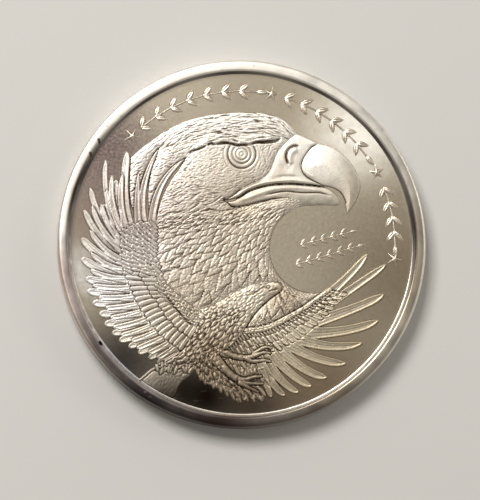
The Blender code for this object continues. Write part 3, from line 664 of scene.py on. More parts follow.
def press_hackle(relief, centre, angle, width, length, bow, ground, strength):
    """A pointed feather that rises towards its tip, with a shaft line and combed barbs."""
    device = relief.device("eagle_head")
    along_it = unit(angle)
    across = left_of(along_it)
    centre = np.asarray(centre)
    feather = Feather(centre - 0.75 * length * along_it,
                      centre - 0.1 * length * along_it + bow * length * across,
                      centre + 0.55 * length * along_it, width)
    part, x, y = relief.window(feather.line, feather.width / 2 + 0.2)
    t, offset = feather.place(x, y)
    comb = np.sin(2 * math.pi * (t * feather.length - np.abs(offset) * 2.2) / 0.27)
    narrowing = np.clip((t - 0.3) / 0.7, 0, 1)
    half = feather.width / 2 * np.clip(1.0 - narrowing ** 1.7, 0, 1)
    half = half * (1 + 0.22 * comb * narrowing)
    inside = np.minimum(half - np.abs(offset), (1.0 - t) * feather.length)
    size = np.clip(feather.width / 1.2, 0.45, 1.0) * strength
    mine = relief.owner[part] == device
    shade = bump(inside, 0.10) * (inside < 0) * (t > 0.2)
    relief.cut(part, 0.04 * size * shade, device, 7.0)
    share = np.clip(t, 0, 1)
    rise = ground[part] - 0.05 * size + 0.10 * size * share ** 1.2
    rise += 0.035 * size * np.sqrt(np.clip(1 - (2 * offset / feather.width) ** 2, 0, 1))
    rise -= 0.016 * size * bump(offset, 0.05) * (share < 0.8)
    rise += 0.022 * size * comb
    rise -= 0.028 * size * np.exp(-inside.clip(0) / 0.09)
    relief.cover(part, mine & (inside > 0), rise, device)
    # Patina and painted shade: darker at the hackle's edge, along its shaft and in the troughs of its
    # barbs, and most at its root, which lies under the hackles before it; weaker towards the cheek.
    patina_shade = 0.12 * np.exp(-inside.clip(0) / 0.04) + 0.20 * bump(offset, 0.05) * (share < 0.8)
    patina_shade += 0.50 * (1 - share) ** 2 + 0.25 * np.clip(-comb, 0, 1)
    patina_shade *= np.clip((3.2 - centre[1]) / 1.5, 0.15, 1.0)
    relief.patina_and_shade[part] += np.where(mine & (inside > 0), patina_shade, 0.0)


def press_head(relief):
    """The large eagle's head and neck, with brow and eye."""
    mound(relief, "eagle_head", HEAD, 0.10, 0.27, 3.0)
    press_neck(relief)
    press_down(relief)
    press_brow(relief)
    press_eye(relief)


def press_down(relief):
    """The fine plumage of crown, cheek and chin, as short strokes that follow the flow."""
    device = relief.device("eagle_head")
    random = np.random.default_rng(11)
    face = join(CROWN, CERE_EDGE, GAPE, BAY_AT_CHIN, [(0.0, 2.2), (-5.0, 1.6), (-9.2, 1.2)],
                FIRST_FRONT, FIRST_BACK, SECOND_FRONT, SECOND_BACK, THIRD_FRONT)
    for x, y, angle in scatter(face, 0.18, 0.03, 2.4, HEAD_FLOW, seed=5):
        from_eye = math.hypot(x - EYE[0], y - EYE[1])
        if from_eye < 2.0:
            continue
        crown = y > 10.7 + 0.1 * x
        length = random.uniform(0.4, 1.1) * (1.6 if crown else 1.2 if y < 6.0 else 0.75)
        depth = random.uniform(0.008, 0.05) * (1.1 if crown or from_eye > 5.0 else 0.7)
        wobble = random.normal(0.0, 0.10 if crown else 0.24)
        press_stroke(relief, device, x, y, angle + wobble, length,
                     random.uniform(0.045, 0.075), depth)


# The cuts of the brow, each a curve, a width and a depth; the first ones are cut heavier.
HEAVY_BROW_LINES = 4
BROW_LINES = (
    ([(-5.75, 9.5), (-5.1, 9.8), (-4.3, 10.1), (-3.8, 10.35)], 0.10, 0.10),
    ([(-3.75, 10.35), (-3.3, 10.62), (-3.1, 10.5), (-2.8, 10.5)], 0.09, 0.08),
    ([(-2.9, 10.5), (-2.0, 10.65), (-1.2, 10.55), (-0.5, 10.4), (0.1, 10.45), (0.9, 10.45)],
     0.10, 0.14),
    ([(0.7, 10.45), (1.5, 10.72), (2.3, 10.75), (3.0, 10.82), (3.6, 10.95), (4.15, 11.2)],
     0.12, 0.13),
    ([(-3.4, 10.75), (-2.6, 11.05), (-2.0, 11.22), (-1.3, 11.15), (-0.8, 10.9), (-0.3, 10.75)],
     0.07, 0.06),
    ([(-1.5, 10.95), (-0.9, 10.88), (-0.3, 10.75)], 0.06, 0.06),
    ([(0.2, 10.85), (1.0, 11.0), (1.9, 11.3), (2.8, 11.2)], 0.06, 0.05),
    ([(-4.9, 11.2), (-4.0, 11.5), (-3.0, 11.75), (-2.0, 11.6), (-1.2, 11.4)], 0.06, 0.045),
    ([(-4.2, 11.9), (-3.0, 11.95), (-1.6, 11.6), (-0.6, 11.3), (0.3, 11.1)], 0.06, 0.035),
    ([(0.2, 11.7), (1.0, 11.75), (2.0, 11.9), (3.0, 11.6), (3.9, 11.3)], 0.06, 0.045),
    ([(0.9, 12.1), (1.9, 12.2), (2.8, 11.95), (3.6, 11.5)], 0.06, 0.04),
    ([(-0.4, 13.4), (0.6, 13.5), (1.6, 13.45), (2.6, 13.35)], 0.06, 0.03),
    ([(-1.5, 12.65), (-0.2, 12.7), (1.0, 12.75)], 0.06, 0.03),
)

# The eye: the rings cut round its centre, each a radius, a width and a depth.
EYE = (-0.08, 9.45)
EYE_RINGS = ((1.95, 0.07, 0.045), (1.50, 0.09, 0.085), (1.0, 0.08, 0.07),
             (0.62, 0.07, 0.06), (0.22, 0.06, 0.03))
EYE_SKIN = 2.05
EYEBALL = 1.45
EYE_LID = smooth([(-2.2, 10.62), (-1.2, 10.5), (-0.5, 10.38), (0.1, 10.42), (0.9, 10.42),
                  (2.2, 10.7)])


def press_brow(relief):
    """The ridge over the eye and its cuts, as a piece of its own between two lines."""
    ridge_line = smooth([(-5.4, 9.9), (-4.2, 10.45), (-3.0, 11.0), (-1.8, 11.15), (-0.4, 10.85),
                         (1.0, 10.85), (2.4, 11.1), (4.0, 11.4)])
    ridge(relief, ridge_line, 0.38, 0.05, "eagle_head")
    for number, (curve, width, depth) in enumerate(BROW_LINES):
        heavy = 1.25 if number < HEAVY_BROW_LINES else 1.0
        engrave(relief, smooth(curve), width * heavy, depth * heavy, ends=0.15,
                patina_shade=8.0 * heavy)
    # The brow's own band is handed to the CAD device of that name.
    band = join(smooth([(-5.6, 9.7), (-4.3, 10.35), (-3.1, 10.95), (-2.0, 11.3), (-0.5, 11.15),
                        (1.0, 11.1), (2.6, 11.3), (4.0, 11.25)]),
                smooth([(4.0, 11.25), (3.3, 10.98), (2.4, 10.82), (0.9, 10.55), (-0.5, 10.5),
                        (-2.0, 10.72), (-3.1, 10.6), (-4.3, 10.12), (-5.6, 9.7)]))
    hand_over(relief, band, "eagle_head", "eagle_brow")


def hand_over(relief, outline, giver, taker):
    """Gives the points inside an outline from one device to another, heights unchanged."""
    part, x, y = relief.window(outline, 0.1)
    given = (inside_distance(x, y, outline) > 0) & (relief.owner[part] == relief.device(giver))
    relief.owner[part] = np.where(given, relief.device(taker), relief.owner[part])


def soften(relief, curve, width, sigma):
    """Smooths the map along a curve, where two devices should flow together."""
    part, x, y = relief.window(curve, width * 3)
    distance, _ = curve_distance(x, y, curve)
    share = bump(distance, width) * (relief.owner[part] > 0)
    calm = blurred(relief.height, sigma, relief.step)[part]
    relief.height[part] += share * (calm - relief.height[part])
    relief.patina_and_shade[part] *= 1 - share


def press_eye(relief):
    """The eyeball with its iris and pupil, and the ringed skin round it, under the brow."""
    part, x, y = relief.window([EYE], 2.5)
    under_brow = np.interp(x, EYE_LID[:, 0], EYE_LID[:, 1]) - 0.05 - y
    radius = np.hypot(x - EYE[0], y - EYE[1])
    skin = (radius < EYE_SKIN) & (under_brow > 0)
    calm = 0.225 + 0.05 * np.sqrt(np.clip(1 - (radius / 2.1) ** 2, 0, 1))
    rings = np.zeros(x.shape)
    for ring, width, depth in EYE_RINGS:
        rings += depth * bump(radius - ring, width)
    ball = 0.05 * np.sqrt(np.clip(1 - (radius / 1.05) ** 2, 0, 1))
    blend = np.clip((EYE_SKIN - radius) / 0.3, 0, 1) * np.clip(under_brow / 0.15, 0.0, 1.0)
    mixed = relief.height[part] * (1 - blend) + (calm + ball - rings) * blend
    relief.height[part] = np.where(skin, mixed, relief.height[part])
    # The rings are darkened with patina and painted shade.
    relief.patina_and_shade[part] = np.where(
        skin, relief.patina_and_shade[part] * (1 - blend) + 4.5 * rings * blend, relief.patina_and_shade[part])
    eyeball = skin & (radius < EYEBALL)
    relief.owner[part] = np.where(eyeball, relief.device("eagle_eye"), relief.owner[part])


def press_beak(relief):
    """Cere, horn and lower beak, with the mouth, the lips and the nostril."""
    mound(relief, "eagle_cere", CERE, 0.24, 0.30, 1.4, foot=0.19)
    part, x, y = mound(relief, "eagle_upper_beak", UPPER_BEAK, 0.15, 0.38, 2.5, foot=0.10,
                       back=arch_rise)
    # Painted shade along the horn's hook and inner edge, which turn away from the light, with a
    # shallow cut.
    for side, reach, depth in ((HOOK, 0.9, 0.030), (BEAK_INSIDE, 0.35, 0.035)):
        distance, _ = curve_distance(x, y, side)
        relief.cut(part, depth * bump(distance, reach), relief.device("eagle_upper_beak"), 12.0)
    part, x, y = mound(relief, "eagle_lower_beak", LOWER_BEAK, 0.15, 0.22, 0.9, foot=0.11)
    # The lower beak's underside sinks away from the light and is darkened with painted shade.
    under = np.clip((5.35 - y) / 1.2, 0, 1) * np.clip((x - 4.4) / 1.2, 0, 1)
    relief.cut(part, 0.13 * under, relief.device("eagle_lower_beak"), 4.0)
    soften(relief, [(5.15, 4.95), (5.3, 3.4)], 0.8, 0.4)
    throat = [(4.8, 4.9), (6.0, 4.7), (6.3, 4.1), (5.6, 3.7), (4.9, 3.4)]
    for name, seed in (("eagle_lower_beak", 51), ("eagle_head", 52)):
        press_scales(relief, name, throat, 0.15, 1.8, HEAD_FLOW, 0.025, seed)
    soften(relief, CERE_EDGE[:-2 * SPANS], 0.22, 0.12)
    engrave(relief, HORN_EDGE, 0.08, 0.04, ends=0.08, patina_shade=8.0)
    ridge(relief, smooth([(7.6, 10.3), (7.1, 9.7), (6.7, 9.05), (6.5, 8.35), (6.6, 7.8),
                          (7.0, 7.4), (7.8, 7.0)]), 0.12, 0.025, "eagle_upper_beak")
    engrave(relief, CERE_EDGE[2 * SPANS:], 0.09, 0.02, ends=0.2, patina_shade=8.0)
    engrave(relief, join(MOUTH_LINE, BEAK_INSIDE[CUT_SHORT:][::-1]), 0.11, 0.17, ends=0.02)
    engrave(relief, smooth([(-2.1, 4.75), (-1.7, 4.5), (-1.3, 4.55), (-0.6, 4.75)]), 0.16, 0.10)
    engrave(relief, GAPE[:-CUT_SHORT], 0.09, 0.10, ends=0.2)
    engrave(relief, smooth([(2.3, 5.1), (3.4, 5.37), (4.2, 5.52), (5.0, 5.55), (5.9, 5.44),
                            (6.9, 5.42), (8.1, 5.44), (8.8, 5.3), (9.45, 5.05)]), 0.08, 0.10)
    ridge(relief, smooth([(-0.6, 4.45), (0.4, 4.75), (1.6, 5.2), (3.2, 5.75), (5.0, 5.95),
                          (7.0, 5.85), (8.6, 5.65)]), 0.22, 0.05, "eagle_lower_beak")
    ridge(relief, smooth([(-0.6, 5.1), (0.6, 5.85), (2.0, 6.35), (3.6, 6.6), (5.4, 6.72),
                          (7.2, 6.5)]), 0.16, 0.05, "eagle_cere")
    engrave(relief, smooth([(3.2, 7.0), (4.4, 7.15), (5.4, 7.15), (6.3, 7.05)]),
            0.14, 0.03, ends=0.3, patina_shade=2.0)
    nostril = smooth([(4.95, 8.35), (4.70, 8.8), (4.61, 9.3), (4.78, 9.85), (5.15, 10.25),
                      (5.65, 10.42), (6.1, 10.25)])
    engrave(relief, nostril, 0.12, 0.15, ends=0.15, patina_shade=7.0)
    ridge(relief, smooth([(5.2, 8.4), (5.05, 8.9), (5.1, 9.4), (5.4, 9.85), (5.85, 10.0)]),
          0.24, 0.07, "eagle_cere")
    engrave(relief, smooth([(3.9, 8.0), (4.6, 8.15), (5.4, 7.9)]), 0.5, 0.03, ends=0.3,
            patina_shade=1.0)


# --- The flying eagle -----------------------------------------------------------------

def press_left_wing(relief):
    """Flight feathers in two layers, the long ones at the neck, two rows of coverts and the
    shoulder, each lying over the ones before."""
    name = "left_wing_flight_feathers"
    random = np.random.default_rng(2)
    lower = LEFT_FLIGHT[UPPER_FLIGHT_COUNT:]
    for number, (root, middle, tip, width) in enumerate(reversed(LEFT_FLIGHT)):
        low = (root, middle, tip, width) in lower
        press_feather(relief, name, Feather(root, middle, tip, width * (1.12 if low else 0.86)),
                      0.20, 0.03 + 0.002 * number, rim=0.07, rachis=0.03, veins=0.02,
                      tip_share=0.16, flare=0.5, gap=0.08, side_tilt=-0.09,
                      vane_shade=0.10 if low else 0.34)
    pairs = list(zip(LEFT_FLIGHT, LEFT_FLIGHT[1:]))
    for first, second in reversed(pairs):
        root, middle, tip = ((np.array(a) + np.array(b)) / 2 for a, b in zip(first, second[:3]))
        reach = random.uniform(0.76, 0.92)
        middle = root + (middle - root) * reach
        tip = root + (tip - root) * reach
        press_feather(relief, name, Feather(root, middle, tip, 0.58), 0.25, 0.02, rim=0.05,
                      rachis=0.025, veins=0.012, tip_share=0.22, flare=0.4, gap=0.07,
                      side_tilt=-0.09, vane_shade=0.10 if first in lower else 0.34)
    for root, middle, tip, width in LONG_FEATHERS:
        press_feather(relief, name, Feather(root, middle, tip, width * 0.92), 0.22, 0.03,
                      rim=0.065, rachis=0.03, tip_share=0.9, flare=0.2, gap=0.04, vane_shade=0.38)
    engrave(relief, FIRST_FRONT, 0.06, 0.05, ends=0.1)
    engrave(relief, SECOND_FRONT[SPANS:], 0.06, 0.04, ends=0.05)
    press_covert_row(relief, "left_wing_greater_coverts", GREATER_EDGE, MEDIAN_EDGE, 17, 0.33)
    press_covert_row(relief, "left_wing_median_coverts", MEDIAN_EDGE, SHOULDER_EDGE, 16, 0.34)
    mound(relief, "left_wing_shoulder", SHOULDER, 0.21, 0.25, 0.8, foot=0.15)
    soften(relief, LEFT_LEADING, 0.30, 0.15)
    press_shoulder(relief)
    ridge(relief, LEFT_LEADING, 0.34, 0.04, "left_wing_shoulder")
    engrave(relief, SHOULDER_EDGE[SPANS:], 0.12, 0.11, ends=0.25)


# The lie of the shoulder's feathers.
WING_FLOW = Flow([
    (-10.5, 1.5, 135), (-12.0, 0.5, 145), (-12.3, -1.5, 160), (-10.5, -1.0, 152),
    (-9.4, -1.0, 132), (-9.2, -2.6, 135), (-11.0, -2.8, 172), (-9.9, -3.0, 172),
    (-8.6, -4.0, 140), (-7.5, -5.3, 142), (-8.3, -5.0, 160), (-6.2, -6.5, 148),
    (-6.9, -6.9, 165), (-5.0, -7.8, 155)])


def press_shoulder(relief):
    """The wing's small front feathers, in rows that follow its leading edge."""
    random = np.random.default_rng(23)
    slope = np.gradient(LEFT_LEADING, axis=0)
    outward = np.stack([slope[:, 1], -slope[:, 0]], 1) / np.hypot(*slope.T)[:, None]
    outward *= -1.0 if outward[len(outward) // 2, 0] > 0 else 1.0
    for number, distance in enumerate(np.arange(4.5, 0.0, -0.60)):
        row = LEFT_LEADING + outward * distance
        count = int(piece_lengths(row).sum() / 0.42)
        shares = (np.arange(count) + 0.5 * (number % 2)) / count
        for x, y in along(row, shares):
            x, y = (x, y) + random.normal(0.0, 0.06, 2)
            if inside_distance(np.array([x]), np.array([y]), SHOULDER)[0] < -0.12:
                continue
            angle = WING_FLOW(x, y) + random.normal(0.0, 0.10)
            forward = unit(angle)
            reach = random.uniform(0.35, 0.55)
            feather = Feather((x, y) - 0.75 * forward, (x, y), (x, y) + reach * forward,
                              random.uniform(0.42, 0.50))
            press_feather(relief, "left_wing_shoulder", feather, 0.19, 0.15, rim=0.01,
                          tip_share=0.4, gap=0.008, edge=0.11, cover=True)


def press_covert_row(relief, name, tips, roots, count, height):
    """A row of short feathers from the roots curve to the tips curve, side by side."""
    random = np.random.default_rng(count)
    mound(relief, name, join(tips, roots[::-1]), height - 0.12, height - 0.10, 0.5,
          foot=height - 0.14)
    shares = (np.arange(count) + 0.5) / count
    tip_points = along(tips, shares + random.uniform(-0.2, 0.2, count) / count)
    root_points = along(roots, shares)
    spacing = np.hypot(*(tip_points[1] - tip_points[0]))
    for tip, root in zip(tip_points[::-1], root_points[::-1]):
        reach = tip - root
        tip = tip + random.uniform(0.0, 0.2) * reach / np.hypot(*reach)
        middle = (root + tip) / 2 - left_of(reach) * random.uniform(0.0, 0.08)
        start = root - 0.15 * reach
        press_feather(relief, name, Feather(start, middle, tip, spacing * 1.15),
                      height - 0.12, 0.10, rim=0.015, veins=0.012, tip_share=0.22, gap=0.06,
                      edge=0.09, side_tilt=-0.06, cover=True)


def press_scales(relief, name, outline, spacing, stretch, flow, height, seed, patina_shade=11.0):
    """Small overlapping feathers scattered over a device."""
    device = relief.device(name)
    random = np.random.default_rng(seed)
    for x0, y0, angle in scatter(outline, spacing, 0.05, stretch, flow, seed):
        angle += random.normal(0.0, 0.16)
        half_length = spacing * stretch * random.uniform(0.6, 0.9)
        half_width = spacing * random.uniform(0.5, 0.75)
        part, x, y = relief.window([(x0, y0)], max(half_length, half_width) + 0.1)
        forward, offset = turned(x - x0, y - y0, angle)
        forward = forward / half_length
        radius = np.sqrt(forward ** 2 + (offset / half_width) ** 2)
        raised = height * random.uniform(0.4, 1.4)
        mine = relief.owner[part] == device
        shape = raised * (0.6 + 0.4 * forward) * np.sqrt(np.clip(1 - radius ** 2, 0, 1))
        relief.height[part] += np.where(mine & (radius < 1), shape, 0.0)
        # A shallow ring round each feather, darkened with patina and painted shade where it meets the
        # next.
        relief.cut(part, 0.4 * raised * bump(radius - 1.1, 0.2), device, patina_shade)


# The lie of the body's feathers, and the parts of it that are feathered differently.
BODY_FLOW = Flow([
    (3.5, -4.6, 205), (1.0, -5.2, 212), (-1.5, -6.5, 215), (-4.0, -8.0, 225), (0.0, -8.0, 232),
    (-2.0, -10.0, 235), (-5.0, -10.5, 225), (-7.5, -12.8, 205), (-3.0, -13.5, 290),
    (-1.0, -15.5, 312), (1.5, -16.2, 315)])
BODY_NECK = join(FLYER_BACK[2 * SPANS:],
                 [(-3.0, -8.0), (-0.2, -8.0), (1.25, -7.55), (2.2, -6.5), (2.2, -5.4)])
BODY_ROUGH = join([(-3.6, -7.2), (-1.5, -7.0), (0.4, -7.6)], BREAST_SIDE, LEGS_SIDE, TROUSERS,
                  TAIL_BORDER, [(-7.9, -12.55), GREATER_END, MEDIAN_END, SHOULDER_END])
BODY_LOWER = join([(-4.5, -11.0), (-2.6, -10.6), (-1.3, -11.2)], LEGS_SIDE, TROUSERS,
                  TAIL_BORDER, [(-7.9, -12.55), GREATER_END])
WING_ROOT = [(-5.2, -7.0), (-4.5, -7.0), (-3.9, -7.5), (-4.0, -9.0), (-4.9, -9.6), (-5.5, -8.9),
             (-5.5, -7.8)]
UNDERSIDE = smooth([
    (-2.4, -11.6), (-1.2, -11.5), (0.5, -11.6), (2.2, -11.6), (2.9, -12.4), (2.6, -13.4),
    (1.9, -14.3), (0.6, -14.7), (-0.8, -14.4), (-2.0, -13.2), (-2.4, -11.6)])


def press_body(relief):
    """The small eagle's body and the plumage under it, lower towards the belly."""
    name = "flying_eagle_body"
    mound(relief, name, UNDERSIDE, 0.06, 0.10, 0.6)
    mound(relief, name, BODY, 0.22, 0.32, 1.8, foot=0.16)
    soften(relief, FLYER_BACK, 0.30, 0.18)
    soften(relief, [NAPE, SHOULDER_END, MEDIAN_END], 0.45, 0.3)
    mine = relief.owner == relief.device(name)
    low = np.clip((-12.0 - relief.y) / 4.0, 0.0, 1.0)
    relief.height *= np.where(mine, 1.0 - 0.55 * low, 1.0)
    press_scales(relief, name, BODY_NECK, 0.24, 1.9, BODY_FLOW, 0.05, 30)
    press_scales(relief, name, BODY_ROUGH, 0.36, 1.7, BODY_FLOW, 0.09, 31, patina_shade=16.0)
    press_scales(relief, name, BODY_LOWER, 0.40, 2.2, BODY_FLOW, 0.05, 33, patina_shade=16.0)
    press_scales(relief, name, UNDERSIDE, 0.24, 2.0, BODY_FLOW, 0.05, 37)
    for piece in (name, "left_wing_shoulder"):
        press_scales(relief, piece, WING_ROOT, 0.24, 2.2, WING_FLOW, 0.05, 38)
    press_tail_tufts(relief)
    device = relief.device(name)
    random = np.random.default_rng(17)
    for x, y, angle in scatter(BODY, 0.42, 0.1, 2.0, BODY_FLOW, seed=18):
        deep = 0.07 if y < -7.5 else 0.02
        press_stroke(relief, device, x, y, angle + random.normal(0.0, 0.2),
                     random.uniform(0.4, 0.9), 0.06, random.uniform(0.3, 1.0) * deep)
    press_trousers(relief)
    press_flyer_head(relief)
    engrave(relief, FLYER_FRONT[:-CUT_SHORT], 0.08, 0.04, ends=0.03)


def press_tail_tufts(relief):
    """The body's last feathers, which lie ragged over the root of the tail."""
    random = np.random.default_rng(29)
    for share in np.linspace(0.02, 0.98, 16):
        x, y = along(TAIL_BORDER, [share])[0] + random.uniform(-0.30, 0.25, 2)
        angle = math.radians(238.0 + 25.0 * share + random.normal(0.0, 16.0))
        forward = unit(angle)
        feather = Feather((x, y) - 0.6 * forward, (x, y),
                          (x, y) + random.uniform(0.1, 0.5) * forward, 0.36)
        press_feather(relief, "flying_eagle_body", feather, 0.13, 0.05, rim=0.03, rachis=0.02,
                      tip_share=0.6, gap=0.03, cover=True)


def press_trousers(relief):
    """The ragged feathers of thigh and belly, which end in separate points."""
    for x, y, lean in ((-3.9, -15.0, 282), (-3.0, -15.45, 288), (-2.2, -15.9, 293),
                       (-1.5, -16.3, 297), (-0.8, -16.7, 300), (-0.1, -16.95, 302),
                       (0.65, -16.85, 305), (1.35, -16.85, 307), (2.1, -16.75, 311),
                       (2.5, -16.2, 315), (0.2, -16.3, 303), (1.0, -16.25, 306),
                       (1.75, -16.1, 310)):
        forward = unit(math.radians(lean))
        tip = np.array([x, y])
        root = tip - 1.9 * forward
        middle = (tip + root) / 2 + 0.10 * left_of(forward)
        press_feather(relief, "flying_eagle_body", Feather(root, middle, tip, 0.42), 0.13, 0.03,
                      rim=0.05, rachis=0.02, tip_share=0.35, gap=0.05, vane_shade=0.35)


FLYER_EYE = (2.75, -4.65)


def press_flyer_head(relief):
    """Eye, gape and smooth beak of the small eagle."""
    name = "flying_eagle_body"
    beak = smooth([(3.3, -4.25), (3.8, -4.17), (4.15, -4.55), (4.1, -5.0), (3.95, -5.15),
                   (3.75, -4.85), (3.3, -4.8)])
    mound(relief, name, beak, 0.30, 0.36, 0.4, foot=0.24)
    engrave(relief, smooth([(2.7, -5.15), (3.2, -4.98), (3.7, -4.92)]), 0.06, 0.08)
    engrave(relief, smooth([(1.0, -5.5), (1.7, -5.0), (2.2, -4.7), (2.7, -4.75)]), 0.08, 0.07)
    part, x, y = relief.window([FLYER_EYE], 0.4)
    radius = np.hypot(x - FLYER_EYE[0], y - FLYER_EYE[1])
    relief.cut(part, 0.07 * bump(radius - 0.17, 0.06), patina_shade=8.0)


# The right wing's leading edge: the middle of its band, and the lie of its small feathers.
LEADING_BAND = [(9.3, -4.8), (8.2, -5.6), (6.5, -6.85), (4.7, -7.9), (3.4, -8.6), (2.2, -9.05),
                (0.5, -9.3)]
LEADING_FLOW = Flow([(8.5, -5.5, 30), (5.0, -7.5, 28), (2.0, -9.0, 12), (0.0, -9.4, 5)])


def press_right_wing(relief):
    """Flight feathers, three rows of coverts that fan out below the leading edge, and that
    edge's own band."""
    name = "right_wing_flight_feathers"
    for number, (root, middle, tip, width) in enumerate(reversed(RIGHT_FLIGHT)):
        press_feather(relief, name, Feather(root, middle, tip, width * 1.04, start=-0.45),
                      0.15, 0.03 + 0.002 * number, rim=0.11, rachis=0.02,
                      tip_share=0.3, point=0.6, flare=0.45, gap=0.08, side_tilt=0.06, vane_shade=0.30)
    name = "right_wing_coverts"
    mound(relief, name, RIGHT_COVERTS, 0.13, 0.15, 0.8, foot=0.12)
    press_covert_fan(relief, 20, 1.7, 3.7, 0.46, 0.20, 0.30)
    press_covert_fan(relief, 26, 1.1, 2.3, 0.36, 0.23, 0.22)
    press_covert_fan(relief, 40, 0.3, 1.35, 0.26, 0.27, 0.0)
    limb(relief, name, LEADING_BAND, 0.40, 0.66, 0.17, 0.09)
    band = join(RIGHT_LEADING, [(0.0, -9.7), (2.2, -9.5), (3.6, -9.1), (5.0, -8.4),
                                (6.8, -7.2), (8.4, -6.0)])
    press_scales(relief, name, band, 0.17, 2.2, LEADING_FLOW, 0.055, 43)


def press_covert_fan(relief, count, near, far, width, height, vane_shade):
    """A row of the right wing's coverts: it hangs from the leading edge, side by side, from
    the distance near to the distance far below it, and turns outwards along the wing."""
    random = np.random.default_rng(count)
    shares = (np.arange(count) + 0.5) / count
    lead = join([(-2.0, -11.0), (-1.2, -10.0), (-0.4, -9.3)], RIGHT_LEADING[::-1])
    roots = along(lead, shares)
    for root, share in zip(roots, shares):
        angle = math.radians(-64.0 + 62.0 * share ** 1.3 + random.normal(0.0, 2.0))
        reach = (1.0 - 0.35 * share) * unit(angle)
        start, tip = root + near * reach, root + (far + random.uniform(-0.1, 0.1)) * reach
        middle = (start + tip) / 2 - left_of(reach) * 0.05 * (far - near)
        press_feather(relief, "right_wing_coverts", Feather(start, middle, tip, width),
                      height - 0.10, 0.05, rim=0.045, rachis=0.012, tip_share=0.3, gap=0.06,
                      side_tilt=0.05, vane_shade=vane_shade, cover=True)


def press_tail(relief):
    """The tail, with lines that fan out to the rim, and fine strokes."""
    name = "flying_eagle_tail"
    mound(relief, name, TAIL, 0.06, 0.10, 1.0)
    for share in np.linspace(0.08, 0.95, 9):
        root = along(TAIL_BORDER[::-1], [share])[0]
        tip = arc((0.0, 0.0), 18.0, 234.5, 245.5, 20)[int(share * 20)]
        line = join([root], [(root + tip) / 2], [tip])
        engrave(relief, line, 0.16, 0.009, ends=0.05, name=name, patina_shade=5.0)
    limb(relief, name, [(-8.8, -13.1), (-9.6, -13.5), (-10.3, -14.1), (-10.75, -14.5)], 0.3, 0.25,
         0.12, 0.08)
    device = relief.device(name)
    random = np.random.default_rng(19)
    for x, y, _ in scatter(TAIL, 0.3, 0.1, 2.4, BODY_FLOW, seed=3):
        press_stroke(relief, device, x, y, math.radians(random.uniform(252, 275)),
                     random.uniform(0.4, 1.0), 0.07, random.uniform(0.004, 0.012))
    press_scales(relief, name, [(-9.0, -13.1), (-8.6, -14.0), (-6.0, -14.2), (-5.2, -13.4)],
                 0.28, 1.6, BODY_FLOW, 0.03, 45)


def press_legs(relief):
    """Thighs with small feathers, shanks and toes."""
    for name, limbs, thigh in (("flying_eagle_upper_leg", UPPER_LEG, UPPER_THIGH),
                               ("flying_eagle_lower_leg", LOWER_LEG, LOWER_THIGH)):
        limb(relief, name, *thigh, 0.20, 0.13)
        press_scales(relief, name, thigh_patch(thigh), 0.22, 1.8, BODY_FLOW, 0.05, 41)
        for curve, start, end in limbs:
            limb(relief, name, curve, start * 1.3, end * 1.6, 0.24, 0.14, knuckles=3.0)


def press_grain(relief):
    """The fine unevenness of a frosted die, stronger on the neck, and none on the horn."""
    random = np.random.default_rng(1)
    rough = blurred(random.standard_normal(relief.height.shape), 0.05, relief.step)
    smooth_devices = [relief.device(name) for name in
                      ("eagle_cere", "eagle_upper_beak", "eagle_lower_beak", "eagle_eye")]
    height = np.where(np.isin(relief.owner, smooth_devices), 0.001, 0.003)
    neck = relief.owner == relief.device("eagle_head")
    height += np.where(neck, 0.004 * np.clip((1.0 - relief.y) / 5.0, 0.0, 1.0), 0.0)
    relief.height += np.where(relief.owner > 0, height * rough / rough.std(), 0.0)


def thigh_patch(thigh):
    """A rough outline round a thigh, for its feathers."""
    points, width, _ = thigh
    low = np.min(points, axis=0) - width / 2
    high = np.max(points, axis=0) + width / 2
    return [low, (high[0], low[1]), high, (low[0], high[1])]


# --- Stars, sprigs and the reverse ------------------------------------------------------

def star_points(centre, radius, turn, waist):
    """The outline of a five-pointed star; waist is the share of the radius between arms."""
    radii = np.where(np.arange(10) % 2 == 0, radius, radius * waist)
    return polar(centre, radii, turn + 36.0 * np.arange(10))


def press_star(relief, name, centre, radius, turn, height, waist):
    """A star whose arms are roofs that meet in the middle."""
    outline = star_points(centre, radius, turn, waist)
    part, x, y = relief.window(outline, 0.2)
    inside = inside_distance(x, y, outline)
    spine = np.full(x.shape, FAR)
    for angle in np.radians(turn + 72.0 * np.arange(5)):
        distance, _ = curve_distance(x, y, [centre, centre + radius * unit(angle)])
        spine = np.minimum(spine, distance)
    roof = inside / np.maximum(inside + spine, TINY)
    centre_share = 1.0 - np.clip(np.hypot(x - centre[0], y - centre[1]) / radius, 0, 1)
    top = height * (0.55 + 0.45 * centre_share)
    heights = np.where(inside > 0, np.minimum(top * roof + 0.05, EDGE_SLOPE * inside + 0.01),
                       EDGE_SLOPE * inside)
    relief.lift(part, heights, relief.device(name))


def press_leaf(relief, name, base, direction, length, width, height):
    """One leaf with pointed ends and a cut midrib."""
    base = np.asarray(base, float)
    direction = np.asarray(direction, float)
    tip = base + direction * length
    part, x, y = relief.window([base, tip], width)
    forward = ((x - base[0]) * direction[0] + (y - base[1]) * direction[1]) / length
    offset = (y - base[1]) * direction[0] - (x - base[0]) * direction[1]
    share = np.clip(forward, 0.0, 1.0)
    half = width / 2 * np.sin(math.pi * share ** 0.8) ** 0.8
    inside = np.minimum(half - np.abs(offset), np.minimum(forward, 1.0 - forward) * length)
    rise = EDGE_SLOPE * inside
    crown = height * (0.55 + 0.45 * np.clip(2 * inside / width, 0, 1))
    heights = np.where(rise > crown, crown, rise)
    heights -= 0.35 * height * bump(offset, width * 0.10) * (inside > 0.05)
    relief.lift(part, heights, relief.device(name))


